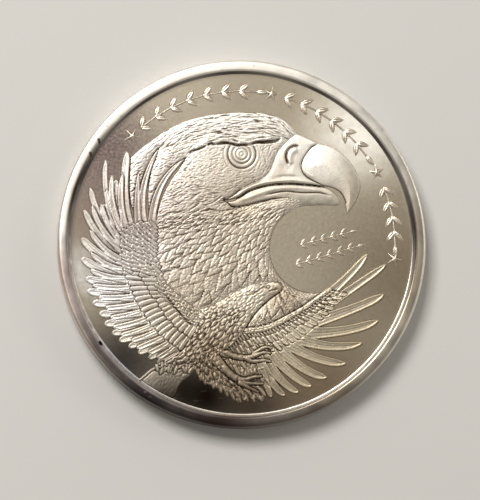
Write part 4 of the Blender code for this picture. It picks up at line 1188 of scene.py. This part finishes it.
def press_sprig(relief, name, spine, length, width, lean, stem, height, berries=0.0):
    """A stem with a pair of leaves at each of the spine's points, and one at its end."""
    spine = np.asarray(spine, float)
    part, x, y = relief.window(spine, 0.5)
    distance, _ = curve_distance(x, y, spine)
    inside = stem / 2 - distance
    heights = np.minimum(EDGE_SLOPE * inside, height * 0.8)
    relief.lift(part, heights, relief.device(name))
    for start, end in zip(spine, spine[1:]):
        forward = (end - start) / np.hypot(*(end - start))
        for side in (1.0, -1.0):
            angle = side * math.radians(lean)
            c, s = math.cos(angle), math.sin(angle)
            direction = (forward[0] * c - forward[1] * s, forward[0] * s + forward[1] * c)
            press_leaf(relief, name, start, direction, length, width, height)
            if berries:
                spot = start + 0.72 * (end - start) + side * berries * 2.6 * left_of(forward)
                press_berry(relief, name, spot, berries, height)
    press_leaf(relief, name, spine[-1] - 0.05 * forward, forward, length * 0.9, width, height)


def press_berry(relief, name, centre, radius, height):
    """A half ball."""
    part, x, y = relief.window([centre], radius * 2)
    distance = np.hypot(x - centre[0], y - centre[1]) / radius
    heights = np.where(distance < 1, height * np.sqrt(np.clip(1 - distance ** 2, 0, 1)),
                       EDGE_SLOPE * radius * (1 - distance))
    relief.lift(part, heights, relief.device(name))


def press_legend(relief):
    """The stars and sprigs of the legend band, and the small sprigs in the field."""
    for number, angle in enumerate(STAR_ANGLES, start=1):
        centre = polar((0.0, 0.0), LEGEND_RADIUS, [angle])[0]
        press_star(relief, f"legend_star_{number}", centre, 0.92, angle, 0.2, waist=0.36)
    for number, (start, end) in enumerate(SPRIG_SPANS, start=1):
        count = round(math.radians(abs(end - start)) * LEGEND_RADIUS / LEAF_PITCH)
        spine = arc((0.0, 0.0), LEGEND_RADIUS, start, end, count)
        press_sprig(relief, f"legend_sprig_{number}", spine, 1.42, 0.62, 40.0, 0.22, 0.17)
    for name, start, end, count in FIELD_SPRIGS:
        spine = np.linspace(start, end, count + 1)
        press_sprig(relief, name, spine, 0.95, 0.40, 38.0, 0.17, 0.10)


def press_reverse(relief):
    """The made-up back: a star in a wreath, tied at its foot."""
    press_star(relief, "reverse_star", (0.0, 0.0), 9.0, 90.0, 0.34, waist=0.42)
    for name, start, end in (("reverse_wreath_left", 257.0, 103.0),
                             ("reverse_wreath_right", 283.0, 437.0)):
        press_sprig(relief, name, arc((0.0, 0.0), 13.6, start, end, 15), 2.7, 1.05, 36.0, 0.34,
                    0.28, berries=0.28)
    for side in (1.0, -1.0):
        loop = [(0.0, -13.3), (0.9, -12.5), (2.0, -12.2), (2.5, -12.8), (1.9, -13.4),
                (0.4, -13.4)]
        ribbon = [(0.2, -13.5), (1.0, -14.1), (1.3, -14.8), (1.9, -15.4)]
        for curve in (loop, ribbon):
            limb(relief, "reverse_wreath_tie", [(x * side, y) for x, y in curve], 0.5, 0.5,
                 0.10, 0.18)
    press_berry(relief, "reverse_wreath_tie", (0.0, -13.35), 0.5, 0.33)


# --- Meshes ---------------------------------------------------------------------------

def blurred(heights, sigma, step):
    """The map smoothed by a Gaussian of the given width in millimetres."""
    spectrum = np.fft.rfft2(heights)
    fx = np.fft.fftfreq(heights.shape[0], step)[:, None]
    fy = np.fft.rfftfreq(heights.shape[1], step)[None, :]
    spectrum *= np.exp(-2.0 * (math.pi * sigma) ** 2 * (fx ** 2 + fy ** 2))
    return np.fft.irfft2(spectrum, heights.shape)


def hollowness(relief):
    """How dark each point is painted, 0 on open ground and 1 in a sharp groove: patina, and painted
    shade wherever the relief round a point stands higher than it.
    """
    shown = np.maximum(relief.height, 0.0)
    fine = blurred(shown, 0.12, relief.step) - shown
    broad = blurred(shown, 0.35, relief.step) - shown
    return 9.0 * fine + 3.0 * broad + 0.8 * np.clip(relief.patina_and_shade, 0.0, 1.2)


def around(cells):
    """How many of the nine cells round each one are set."""
    padded = np.pad(cells.astype(np.int8), 1)
    rows = padded[:-2] + padded[1:-1] + padded[2:]
    return rows[:, :-2] + rows[:, 1:-1] + rows[:, 2:]


def without_corner_touches(cells):
    """Clears cells that meet another only at a corner, so that no edge has four faces."""
    cells = cells.copy()
    for _ in range(CORNER_PASSES):
        a, b, c, d = cells[:-1, :-1], cells[1:, :-1], cells[1:, 1:], cells[:-1, 1:]
        rising = a & c & ~b & ~d
        falling = b & d & ~a & ~c
        cells[:-1, :-1] &= ~rising
        cells[1:, :-1] &= ~falling
    return cells


def cell_owners(relief):
    """The device that each grid cell is part of: that of its highest corner, without specks."""
    corners = [np.s_[:-1, :-1], np.s_[1:, :-1], np.s_[1:, 1:], np.s_[:-1, 1:]]
    heights = np.stack([relief.height[corner] for corner in corners])
    owners = np.stack([relief.owner[corner] for corner in corners])
    owners = np.take_along_axis(owners, heights.argmax(0)[None], 0)[0]
    for _ in range(SPECK_PASSES):
        counts = np.stack([around(owners == device) for device in range(len(relief.devices) + 1)])
        own = np.take_along_axis(counts, owners[None].astype(int), 0)[0]
        owners = np.where(own < SPECK_CELLS, counts.argmax(0), owners)
    return owners


def device_mesh(name, relief, cells, field_z, upward, patina_and_shade):
    """A closed mesh: the struck surface of one device, its sides, and a flat underside."""
    cells = without_corner_touches(cells)
    used = np.zeros(relief.x.shape, bool)
    for di in (0, 1):
        for dj in (0, 1):
            used[di:used.shape[0] - 1 + di, dj:used.shape[1] - 1 + dj] |= cells
    index = np.full(relief.x.shape, -1, np.int64)
    count = int(used.sum())
    index[used] = np.arange(count)
    top = np.stack([relief.x[used], relief.y[used], field_z + upward * relief.height[used]], 1)
    i, j = np.nonzero(cells)
    a, b, c, d = index[i, j], index[i + 1, j], index[i + 1, j + 1], index[i, j + 1]
    struck = np.stack([a, b, c, d], 1)
    padded = np.pad(cells, 1)
    border = []
    for missing, p, q in (
            (padded[1:-1, :-2], (0, 0), (1, 0)), (padded[2:, 1:-1], (1, 0), (1, 1)),
            (padded[1:-1, 2:], (1, 1), (0, 1)), (padded[:-2, 1:-1], (0, 1), (0, 0))):
        wi, wj = np.nonzero(cells & ~missing)
        border.append(np.stack([index[wi + p[0], wj + p[1]], index[wi + q[0], wj + q[1]]], 1))
    border = np.concatenate(border)
    rim, edges = np.unique(border, return_inverse=True)
    edges = edges.reshape(border.shape)
    base = top[rim].copy()
    base[:, 2] = field_z + upward * FLOOR_OF_DEVICE
    low = edges + count
    walls = np.stack([border[:, 0], low[:, 0], low[:, 1], border[:, 1]], 1)
    flat = delaunay_2d_cdt([Vector(point) for point in base[:, :2]], edges.tolist(), [],
                           INSIDE_WITH_HOLES, TINY)
    order = np.array([sources[0] for sources in flat[3]])
    underside = order[np.array(flat[2])][:, ::-1] + count
    faces = [struck, walls, underside]
    if upward < 0:
        faces = [part[:, ::-1] for part in faces]
    mesh = mesh_of(name, np.concatenate([top, base]) * MM, faces)
    sharp = np.ones(len(mesh.polygons), bool)
    sharp[:len(struck)] = False
    mesh.attributes.new("sharp_face", "BOOLEAN", "FACE").data.foreach_set("value", sharp)
    values = np.concatenate([patina_and_shade[used], patina_and_shade[used][rim]]).astype(np.float32)
    mesh.attributes.new("patina_and_shade", "FLOAT", "POINT").data.foreach_set("value", values)
    return mesh


def mesh_of(name, points, groups):
    """A mesh of points and of groups of faces, each group with its own number of corners."""
    corners = np.concatenate([faces.ravel() for faces in groups]).astype(np.int32)
    sizes = np.concatenate([np.full(len(faces), faces.shape[1]) for faces in groups])
    mesh = bpy.data.meshes.new(name)
    mesh.vertices.add(len(points))
    mesh.vertices.foreach_set("co", points.astype(np.float32).ravel())
    mesh.loops.add(len(corners))
    mesh.loops.foreach_set("vertex_index", corners)
    mesh.polygons.add(len(sizes))
    mesh.polygons.foreach_set("loop_start", (np.cumsum(sizes) - sizes).astype(np.int32))
    mesh.update(calc_edges=True)
    mesh.validate()
    return mesh


def add_object(name, data):
    """Adds an object to the scene."""
    obj = bpy.data.objects.new(name, data)
    bpy.context.scene.collection.objects.link(obj)
    return obj


def show(name, mesh, node, slot, *materials):
    """Shows a finished mesh in place of its CAD node."""
    piece = add_object(name, mesh)
    for material in materials:
        mesh.materials.append(material)
    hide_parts(node)
    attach(piece, "root")


def show_devices(relief, field_z, upward, material, plain=None, plain_names=()):
    """Shows each device of a side; those with the plain names take the plain material."""
    patina_and_shade = hollowness(relief)
    owners = cell_owners(relief)
    for number, name in enumerate(relief.devices, start=1):
        mesh = device_mesh(f"{name}_struck", relief, owners == number, field_z, upward, patina_and_shade)
        look = plain if name.startswith(plain_names) else material
        show(f"{name}_struck", mesh, name, "frosted_silver", look)


# The planchet: each side's rim, as (distance outwards from its foot, depth as a share of the
# field's depth), the radii of the rings in the field, and how many segments it is turned in.
RIM_PROFILE = (
    (-0.06, 1.00), (0.02, 0.985), (0.08, 0.91), (0.29, 0.18), (0.35, 0.07), (0.42, 0.02),
    (0.51, 0.0), (0.94, 0.0), (1.10, 0.02), (1.21, 0.07), (1.29, 0.15), (1.35, 0.28),
    (1.385, 0.46), (1.40, 0.70))
FIELD_RINGS = (0.0, 3.0, 6.0, 9.0, 12.0, 14.0, 15.5, 16.5, 17.3, 17.7)
PLANCHET_SEGMENTS = 360


def planchet_mesh():
    """The blank, turned: sunken fields, rounded rims and a plain edge."""
    side = [(radius, FIELD_DEPTH) for radius in FIELD_RINGS]
    side += [(RIM_FOOT + outwards, depth * FIELD_DEPTH) for outwards, depth in RIM_PROFILE]
    profile = side + [(radius, COIN_THICKNESS - z) for radius, z in reversed(side)]
    angles = np.radians(np.arange(PLANCHET_SEGMENTS) * 360.0 / PLANCHET_SEGMENTS)
    rings = [np.stack([r * np.cos(angles), r * np.sin(angles), np.full(len(angles), z)], 1)
             for r, z in profile[1:-1]]
    points = np.concatenate([*rings, [(0.0, 0.0, profile[0][1]), (0.0, 0.0, profile[-1][1])]])
    k = np.arange(PLANCHET_SEGMENTS)
    following = (k + 1) % PLANCHET_SEGMENTS
    faces = []
    for ring in range(len(rings) - 1):
        low = ring * PLANCHET_SEGMENTS
        high = low + PLANCHET_SEGMENTS
        faces.append(np.stack([k + low, following + low, following + high, k + high], 1))
    bottom, top = len(points) - 2, len(points) - 1
    last = (len(rings) - 1) * PLANCHET_SEGMENTS
    quads = np.concatenate(faces).tolist()
    fans = [(bottom, int(b), int(a)) for a, b in zip(k, following)]
    fans += [(top, int(a), int(b)) for a, b in zip(k + last, following + last)]
    mesh = bpy.data.meshes.new("planchet_struck")
    mesh.from_pydata((points * MM).tolist(), [], quads + fans)
    mesh.shade_smooth()
    radii = np.array([math.hypot(p.center.x, p.center.y) / MM for p in mesh.polygons])
    mesh.polygons.foreach_set("material_index", (radii > RIM_FOOT - 0.1).astype(np.int32))
    mesh.update()
    return mesh


# --- Materials ------------------------------------------------------------------------

# The Mix node's colour sockets, which share their names with its other kinds of socket.
MIX_INPUTS = (6, 7)
MIX_OUTPUT = 2


class Nodes:
    """A small helper to wire a material's nodes."""

    def __init__(self, name):
        self.material = bpy.data.materials.new(name)
        self.material.use_nodes = True
        self.tree = self.material.node_tree
        self.shader = self.tree.nodes["Principled BSDF"]
        self.place = self.tree.nodes.new("ShaderNodeTexCoord").outputs["Object"]

    def wire(self, source, target):
        """Links an output to an input."""
        self.tree.links.new(source, target)

    def noise(self, scale, detail=3.0, roughness=0.5, stretch=None):
        """Noise over the object; stretch is a scale on each axis and a turn in degrees."""
        node = self.tree.nodes.new("ShaderNodeTexNoise")
        node.inputs["Scale"].default_value = scale
        node.inputs["Detail"].default_value = detail
        node.inputs["Roughness"].default_value = roughness
        source = self.place
        if stretch:
            mapping = self.tree.nodes.new("ShaderNodeMapping")
            mapping.inputs["Scale"].default_value = stretch[:3]
            mapping.inputs["Rotation"].default_value = (0.0, 0.0, math.radians(stretch[3]))
            self.wire(self.place, mapping.inputs["Vector"])
            source = mapping.outputs["Vector"]
        self.wire(source, node.inputs["Vector"])
        return node.outputs["Fac"]

    def spread(self, source, low, high, new_low=0.0, new_high=1.0, way="LINEAR"):
        """Maps a value's range to another, clamped."""
        node = self.tree.nodes.new("ShaderNodeMapRange")
        node.interpolation_type = way
        node.inputs["From Min"].default_value = low
        node.inputs["From Max"].default_value = high
        node.inputs["To Min"].default_value = new_low
        node.inputs["To Max"].default_value = new_high
        self.wire(source, node.inputs["Value"])
        return node.outputs["Result"]

    def mix(self, share, first, second):
        """Mixes two colours, each a tuple or another node's output."""
        node = self.tree.nodes.new("ShaderNodeMix")
        node.data_type = "RGBA"
        self.wire(share, node.inputs["Factor"])
        for number, colour in zip(MIX_INPUTS, (first, second)):
            if isinstance(colour, tuple):
                node.inputs[number].default_value = (*colour, 1.0)
            else:
                self.wire(colour, node.inputs[number])
        return node.outputs[MIX_OUTPUT]

    def math(self, operation, first, second):
        """A sum on two values, each a number or another node's output."""
        node = self.tree.nodes.new("ShaderNodeMath")
        node.operation = operation
        for socket, value in zip(node.inputs, (first, second)):
            if isinstance(value, (int, float)):
                socket.default_value = value
            else:
                self.wire(value, socket)
        return node.outputs["Value"]

    def vector(self, operation, source, operand=(0.0, 0.0, 0.0)):
        """The outputs of a vector sum on a source."""
        node = self.tree.nodes.new("ShaderNodeVectorMath")
        node.operation = operation
        node.inputs[1].default_value = operand
        self.wire(source, node.inputs[0])
        return node.outputs

    def towards(self, x, y, reach, z=OBVERSE_FIELD):
        """1 at a point of the coin, in millimetres, falling to 0 at the distance reach."""
        distance = self.vector("DISTANCE", self.place, (x * MM, y * MM, z * MM))["Value"]
        return self.spread(distance, 0.0, reach * MM, 1.0, 0.0, "SMOOTHSTEP")

    def toned(self, colour, spots):
        """Tones a colour round each spot: its x, y, reach, share and colour."""
        for x, y, reach, share, tone in spots:
            colour = self.mix(self.math("MULTIPLY", self.towards(x, y, reach), share), colour, tone)
        return colour

    def beyond(self, inner, outer):
        """0 at the radius inner, in millimetres, and 1 at outer, which may be the smaller one."""
        flat = self.vector("MULTIPLY", self.place, (1.0, 1.0, 0.0))["Vector"]
        return self.spread(self.vector("LENGTH", flat)["Value"], inner * MM, outer * MM)

    def banded(self, colour, bands):
        """Tones a colour in bands round the coin, each stronger towards one side: the band's
        two radii, the x, y and reach of that side, and the colour."""
        for inner, outer, x, y, reach, tone in bands:
            band = self.math("MULTIPLY", self.beyond(inner, outer), self.towards(x, y, reach))
            colour = self.mix(band, colour, tone)
        return colour

    def along_diagonal(self):
        """0 at the coin's upper left, rising to 1 at its lower right."""
        across = self.vector("DOT_PRODUCT", self.place, (0.6, -0.8, 0.0))["Value"]
        return self.spread(across, -12.0 * MM, 15.0 * MM)

    def attribute(self, name):
        """A value that the mesh carries at its points."""
        node = self.tree.nodes.new("ShaderNodeAttribute")
        node.attribute_name = name
        return node.outputs["Fac"]

    def metal(self, colour, roughness, height, strength, distance):
        """Finishes the material as a metal with a fine bump, and returns it."""
        bump_node = self.tree.nodes.new("ShaderNodeBump")
        bump_node.inputs["Strength"].default_value = strength
        bump_node.inputs["Distance"].default_value = distance
        self.wire(height, bump_node.inputs["Height"])
        self.shader.inputs["Metallic"].default_value = 1.0
        self.wire(colour, self.shader.inputs["Base Color"])
        self.wire(roughness, self.shader.inputs["Roughness"])
        self.wire(bump_node.outputs["Normal"], self.shader.inputs["Normal"])
        return self.material


# Painted shade and painted highlights on the obverse relief, partly also toning: darker over the head
# and neck, the shoulder and the horn's lower right, near black at the bottom, and bright on the left
# wing's feathers and the horn's top; x, y, reach, share and colour of each spot.
RELIEF_SHADE_AND_TONES = (
    (-1.0, 4.0, 13.0, 0.62, (0.50, 0.42, 0.31)), (-3.0, -12.0, 8.0, 0.88, (0.26, 0.20, 0.13)),
    (-10.5, 3.0, 10.0, 0.66, (0.46, 0.38, 0.35)), (-14.5, -5.0, 6.0, 0.60, (0.97, 0.96, 1.0)),
    (-7.0, -5.5, 5.0, 0.45, (0.40, 0.32, 0.23)), (-11.0, -0.8, 3.6, 0.55, (0.92, 0.86, 0.83)),
    (-8.0, -17.0, 7.5, 1.00, (0.03, 0.02, 0.015)), (0.0, -17.5, 7.0, 0.85, (0.13, 0.09, 0.06)),
    (-3.5, -4.5, 5.5, 0.36, (0.48, 0.40, 0.29)), (4.2, -5.8, 3.6, 0.70, (0.38, 0.30, 0.21)),
    (12.0, 5.0, 5.0, 0.50, (0.50, 0.42, 0.32)), (8.0, 9.5, 5.0, 0.60, (1.0, 0.97, 0.91)))


def frosted_silver(name, shade_and_tones, speckle_share):
    """Relief: bright matte silver, with painted shade darkening it towards the lower right and in
    spots, painted highlights in a few spots, some toning, and dark patina with painted shade in its
    grooves.
    """
    n = Nodes(name)
    colour = n.mix(n.spread(n.noise(450.0), 0.35, 0.65), (0.98, 0.95, 0.90), (0.93, 0.89, 0.82))
    # Painted shade, partly warm toning: the relief darkens towards the lower right, away from the key
    # light.
    colour = n.mix(n.along_diagonal(), colour, (0.60, 0.52, 0.38))
    # Painted shade and painted highlights in spots, partly toning.
    colour = n.toned(colour, shade_and_tones)
    speckle = n.spread(n.noise(2600.0, 2.0, 0.6), 0.35, 0.65, 0.0, speckle_share)
    colour = n.mix(n.math("MULTIPLY", speckle, n.towards(-1.5, 0.0, 14.0)), colour,
                   (0.20, 0.15, 0.10))
    # Patina and painted shade in the grooves and hollows, patchy and brown.
    groove = n.spread(n.attribute("patina_and_shade"), 0.02, 0.9)
    patchy = n.math("MULTIPLY", groove, n.spread(n.noise(900.0), 0.3, 0.7, 0.7, 1.2))
    colour = n.mix(patchy, colour, (0.10, 0.07, 0.045))
    rough = n.spread(n.noise(1400.0), 0.3, 0.7, 0.46, 0.58)
    return n.metal(colour, rough, n.noise(9000.0, 2.0), 0.35, 0.02 * MM)


def legend_silver():
    """The stars and sprigs in the fields: smoother than the eagle, and worn on top."""
    n = Nodes("legend_silver")
    colour = n.mix(n.spread(n.noise(600.0), 0.35, 0.65), (0.78, 0.70, 0.58), (0.64, 0.56, 0.46))
    colour = n.toned(colour, ((10.5, -0.8, 6.5, 0.75, (0.42, 0.36, 0.27)),))
    # Patina and painted shade in the grooves and hollows.
    groove = n.spread(n.attribute("patina_and_shade"), 0.02, 0.7)
    colour = n.mix(groove, colour, (0.16, 0.12, 0.08))
    rough = n.spread(n.noise(1400.0), 0.3, 0.7, 0.36, 0.46)
    return n.metal(colour, rough, n.noise(7000.0, 2.0), 0.3, 0.02 * MM)


def field_silver():
    """The sunken fields: semi-bright, toned brown and mauve, with painted shade that darkens them to
    near black at the bottom and lower left, a painted highlight at the upper right, and faint scuffs.
    """
    n = Nodes("field_silver")
    cloud = n.spread(n.noise(90.0, 2.0, 0.4), 0.3, 0.7)
    colour = n.mix(cloud, (0.67, 0.59, 0.45), (0.71, 0.63, 0.48))
    # Painted shade and reflection in spots, partly brown and mauve toning: brown at the right, dark at
    # the lower right, mauve-dark at the left, near black at the bottom and lower left.
    colour = n.toned(colour, (
        (17.0, -3.0, 12.0, 0.75, (0.36, 0.28, 0.19)), (8.0, -16.0, 13.0, 0.85, (0.30, 0.21, 0.13)),
        (-15.5, 6.0, 16.0, 0.85, (0.25, 0.18, 0.16)), (-14.0, 10.5, 6.5, 0.75, (0.15, 0.10, 0.10)),
        (0.0, 16.5, 10.0, 0.35, (0.40, 0.32, 0.26)), (-12.5, -12.5, 10.0, 0.95, (0.05, 0.04, 0.04)),
        (1.5, -17.5, 7.0, 0.75, (0.06, 0.035, 0.02)), (-6.4, -15.6, 4.5, 0.85, (0.02, 0.015, 0.01)),
        (-3.8, -16.2, 9.5, 1.0, (0.015, 0.009, 0.006))))
    uneven = n.spread(n.noise(420.0, 4.0, 0.65), 0.30, 0.62)
    # A painted highlight at the upper right, where the field is also frostier and rougher.
    frost_and_highlight = n.math("MULTIPLY", n.towards(12.6, 12.2, 8.5), n.spread(uneven, 0.0, 1.0, 0.6, 1.0))
    colour = n.mix(frost_and_highlight, colour, (1.0, 0.97, 0.90))
    worn = n.math("MULTIPLY", n.towards(-16.9, -3.5, 4.5), uneven)
    colour = n.mix(worn, colour, (0.95, 0.92, 0.88))
    grain = n.spread(n.noise(3500.0, 2.0, 0.6), 0.4, 0.7, 0.0, 0.32)
    grain = n.math("MULTIPLY", grain, n.towards(-12.0, 11.0, 14.0))
    colour = n.mix(grain, colour, (0.80, 0.72, 0.66))
    scuffs = n.spread(n.noise(700.0, 4.0, 0.6, (1.0, 6.0, 1.0, 35.0)), 0.64, 0.76)
    colour = n.mix(n.math("MULTIPLY", scuffs, 0.10), colour, (0.85, 0.80, 0.70))
    rough = n.spread(frost_and_highlight, 0.0, 1.0, 0.32, 0.50)
    fine = n.spread(n.noise(3200.0, 2.0), 0.3, 0.7, -0.015, 0.015)
    scratches = n.noise(1500.0, 2.0, 0.5, (1.0, 14.0, 1.0, -28.0))
    return n.metal(colour, n.math("ADD", rough, fine), scratches, 0.15, 0.01 * MM)


# Painted shade round the obverse rim's inner wall, which lies in shadow at the right, top and upper
# left: spots, each an x, y, reach, share and colour.
WALL_SHADE = tuple(
    (18.2 * math.cos(angle), 18.2 * math.sin(angle), 10.0, 0.9, (0.03, 0.022, 0.018))
    for angle in np.radians((8.0, 36.0, 64.0, 94.0, 124.0, 154.0)))

# Small dark marks on the obverse rim, each an x, y and reach: a speck at the lower left, and
# two tapering nicks at the upper left.
RIM_SPECKS = ((-14.87, -10.66, 0.54),)
RIM_NICKS = tuple((x + 0.2 * step, y - 0.7 * step, 0.30 - 0.09 * step)
                  for x, y in ((-15.24, 10.80), (-16.12, 9.36)) for step in (0.0, 0.33, 0.67, 1.0))
MARK_HEIGHT = COIN_THICKNESS - 0.05


def rim_silver():
    """Rims and edge: bright on top, with brown and violet toning, painted shade on the inner wall and
    towards the bottom, and a painted highlight on the edge.
    """
    n = Nodes("rim_silver")
    cloud = n.spread(n.noise(260.0, 4.0, 0.6), 0.38, 0.66)
    colour = n.mix(cloud, (0.94, 0.90, 0.83), (0.84, 0.79, 0.71))
    # The inner slope: painted shade, darkest on the wall at the right, top and left, with a painted
    # bluish reflection at the lower left, and some brown toning.
    slope = n.toned(colour, (
        (0.0, -18.3, 13.0, 0.5, (0.50, 0.42, 0.38)), (16.5, -8.5, 9.0, 0.5, (0.62, 0.54, 0.40)),
        (-16.8, -7.5, 7.0, 0.45, (0.40, 0.33, 0.31)), (-13.0, -13.0, 7.0, 0.7, (0.60, 0.60, 0.74)),
        (-18.2, 1.0, 7.0, 0.7, (0.20, 0.16, 0.14)), *WALL_SHADE))
    # The top: painted shade, near black at the bottom and lower left and brown at the right, partly
    # brown toning.
    top = n.toned(colour, (
        (19.0, -3.0, 17.0, 0.85, (0.44, 0.37, 0.26)), (10.0, -16.5, 15.0, 0.85, (0.22, 0.17, 0.11)),
        (-3.0, -19.0, 18.0, 1.0, (0.055, 0.035, 0.03)), (-15.5, -11.5, 12.0, 0.95, (0.13, 0.10, 0.10)),
        (-10.0, -16.2, 9.0, 0.95, (0.025, 0.018, 0.02)), (-18.5, -4.0, 8.0, 0.75, (0.36, 0.28, 0.26)),
        (-17.0, 8.0, 8.0, 0.35, (0.50, 0.42, 0.36))))
    # Where the wall rolls over: a painted highlight at the lower left, and painted shade at the right
    # and left.
    top = n.banded(top, ((18.66, 18.54, 18.5, 1.5, 14.0, (0.08, 0.06, 0.045)),
                         (18.76, 18.44, -13.5, -13.0, 16.0, (0.50, 0.45, 0.42)),
                         (18.85, 18.64, -17.6, 5.4, 11.0, (0.07, 0.055, 0.045))))
    colour = n.mix(n.beyond(18.31, 18.42), slope, top)
    # A painted highlight along the edge, stronger at the right than at the left.
    colour = n.banded(colour, ((19.12, 19.24, -18.5, -6.5, 12.0, (0.62, 0.53, 0.46)),
                               (19.16, 19.30, 19.0, -5.0, 18.0, (1.0, 0.96, 0.87))))
    spots = n.spread(n.noise(1100.0, 3.0, 0.6), 0.66, 0.74)
    colour = n.mix(n.math("MULTIPLY", spots, 0.5), colour, (0.30, 0.24, 0.18))
    for marks, tone in ((RIM_SPECKS, (0.010, 0.008, 0.008)), (RIM_NICKS, (0.09, 0.06, 0.05))):
        for x, y, reach in marks:
            mark = n.spread(n.towards(x, y, reach, MARK_HEIGHT), 0.2, 0.6)
            colour = n.mix(mark, colour, tone)
    rough = n.spread(n.noise(500.0, 3.0), 0.3, 0.7, 0.30, 0.42)
    worn = n.math("MULTIPLY", n.towards(-6.0, 18.0, 24.0), 0.14)
    return n.metal(colour, n.math("ADD", rough, worn), n.noise(2500.0, 3.0), 0.25, 0.01 * MM)


# --- Stage ----------------------------------------------------------------------------

# The camera: distance from the coin, tilt and azimuth in degrees, the point of the field that
# it looks at, the height of its view there, and its sensor; lengths in millimetres.
CAMERA_DISTANCE = 380.0
CAMERA_TILT = 7.8
CAMERA_AZIMUTH = 231.0
AIM = (-0.25, -0.72)
FRAME_HEIGHT = 52.8
SENSOR = 36.0

# Soft boxes: name, place and width in millimetres, power and colour.
LIGHTS = (("key", (-170.0, 230.0, 430.0), 200.0, 2.3, (1.0, 0.98, 0.95)),
          ("fill", (420.0, 180.0, 320.0), 200.0, 0.3, (1.0, 0.95, 0.88)))

# The floor, in metres.
FLOOR_HALF_WIDTH = 0.6
FLOOR_GAP = 0.00002


def aim_at(obj, target):
    """Turns a camera or light to a point, with +Y up in its view."""
    back = (obj.location - target).normalized()
    right = Vector((0.0, 1.0, 0.0)).cross(back).normalized()
    turn = Matrix((right, back.cross(right), back)).transposed()
    obj.rotation_euler = turn.to_euler()


def add_camera():
    """The camera, at the photo's angle and framing."""
    data = bpy.data.cameras.new("camera")
    data.sensor_width = SENSOR
    data.lens = SENSOR * CAMERA_DISTANCE / FRAME_HEIGHT
    data.clip_start = 0.01
    data.clip_end = 10.0
    camera = add_object("camera", data)
    tilt, turn = math.radians(CAMERA_TILT), math.radians(CAMERA_AZIMUTH)
    away = Vector((math.sin(tilt) * math.cos(turn), math.sin(tilt) * math.sin(turn),
                   math.cos(tilt)))
    target = Vector((AIM[0], AIM[1], OBVERSE_FIELD)) * MM
    camera.location = target + away * CAMERA_DISTANCE * MM
    aim_at(camera, target)
    bpy.context.scene.camera = camera


def add_light(name, place, size, power, colour):
    """A square soft box, placed in millimetres, that faces the coin."""
    data = bpy.data.lights.new(name, "AREA")
    data.shape = "SQUARE"
    data.size = size * MM
    data.energy = power
    data.color = colour
    light = add_object(name, data)
    light.location = Vector(place) * MM
    aim_at(light, Vector((0.0, 0.0, 0.0)))


def add_world():
    """A plain studio: a dim ceiling that grows lighter towards the horizon."""
    world = bpy.data.worlds.new("studio")
    world.use_nodes = True
    tree = world.node_tree
    background = tree.nodes["Background"]
    place = tree.nodes.new("ShaderNodeTexCoord")
    split = tree.nodes.new("ShaderNodeSeparateXYZ")
    tree.links.new(place.outputs["Generated"], split.inputs["Vector"])
    height = tree.nodes.new("ShaderNodeMapRange")
    height.inputs["From Min"].default_value = 0.35
    height.inputs["From Max"].default_value = 1.0
    height.inputs["To Min"].default_value = 0.45
    height.inputs["To Max"].default_value = 0.18
    tree.links.new(split.outputs["Z"], height.inputs["Value"])
    tree.links.new(height.outputs["Result"], background.inputs["Strength"])
    background.inputs["Color"].default_value = (1.0, 0.95, 0.87, 1.0)
    bpy.context.scene.world = world


def add_stage():
    """The pale floor, just under the coin, and the studio's light."""
    floor = bpy.data.meshes.new("floor")
    half = FLOOR_HALF_WIDTH
    floor.from_pydata([(-half, -half, 0), (half, -half, 0), (half, half, 0), (-half, half, 0)],
                      [], [(0, 1, 2, 3)])
    n = Nodes("pale_floor")
    n.shader.inputs["Base Color"].default_value = (0.60, 0.59, 0.57, 1.0)
    n.shader.inputs["Roughness"].default_value = 0.85
    floor.materials.append(n.material)
    obj = add_object("floor", floor)
    obj.location.z = -FLOOR_GAP
    add_world()
    for light in LIGHTS:
        add_light(*light)


# --- Build ----------------------------------------------------------------------------

obverse = Relief(RIM_FOOT, OBVERSE_STEP)
press_head(obverse)
press_beak(obverse)
press_tail(obverse)
press_left_wing(obverse)
press_right_wing(obverse)
press_body(obverse)
press_legs(obverse)
press_legend(obverse)
press_grain(obverse)
obverse.owner[np.hypot(obverse.x, obverse.y) > RIM_FOOT + 0.05] = 0
obverse.height[obverse.owner == 0] = SUNK
reverse = Relief(RIM_FOOT, REVERSE_STEP)
press_reverse(reverse)

show_devices(obverse, OBVERSE_FIELD, 1.0, frosted_silver("frosted_silver", RELIEF_SHADE_AND_TONES, 0.36),
             legend_silver(), ("legend", "field"))
show_devices(reverse, REVERSE_FIELD, -1.0, frosted_silver("reverse_silver", (), 0.08))
show("planchet_struck", planchet_mesh(), "planchet", "struck_silver", field_silver(),
     rim_silver())
add_camera()
add_stage()
bpy.context.scene.view_settings.view_transform = "Standard"
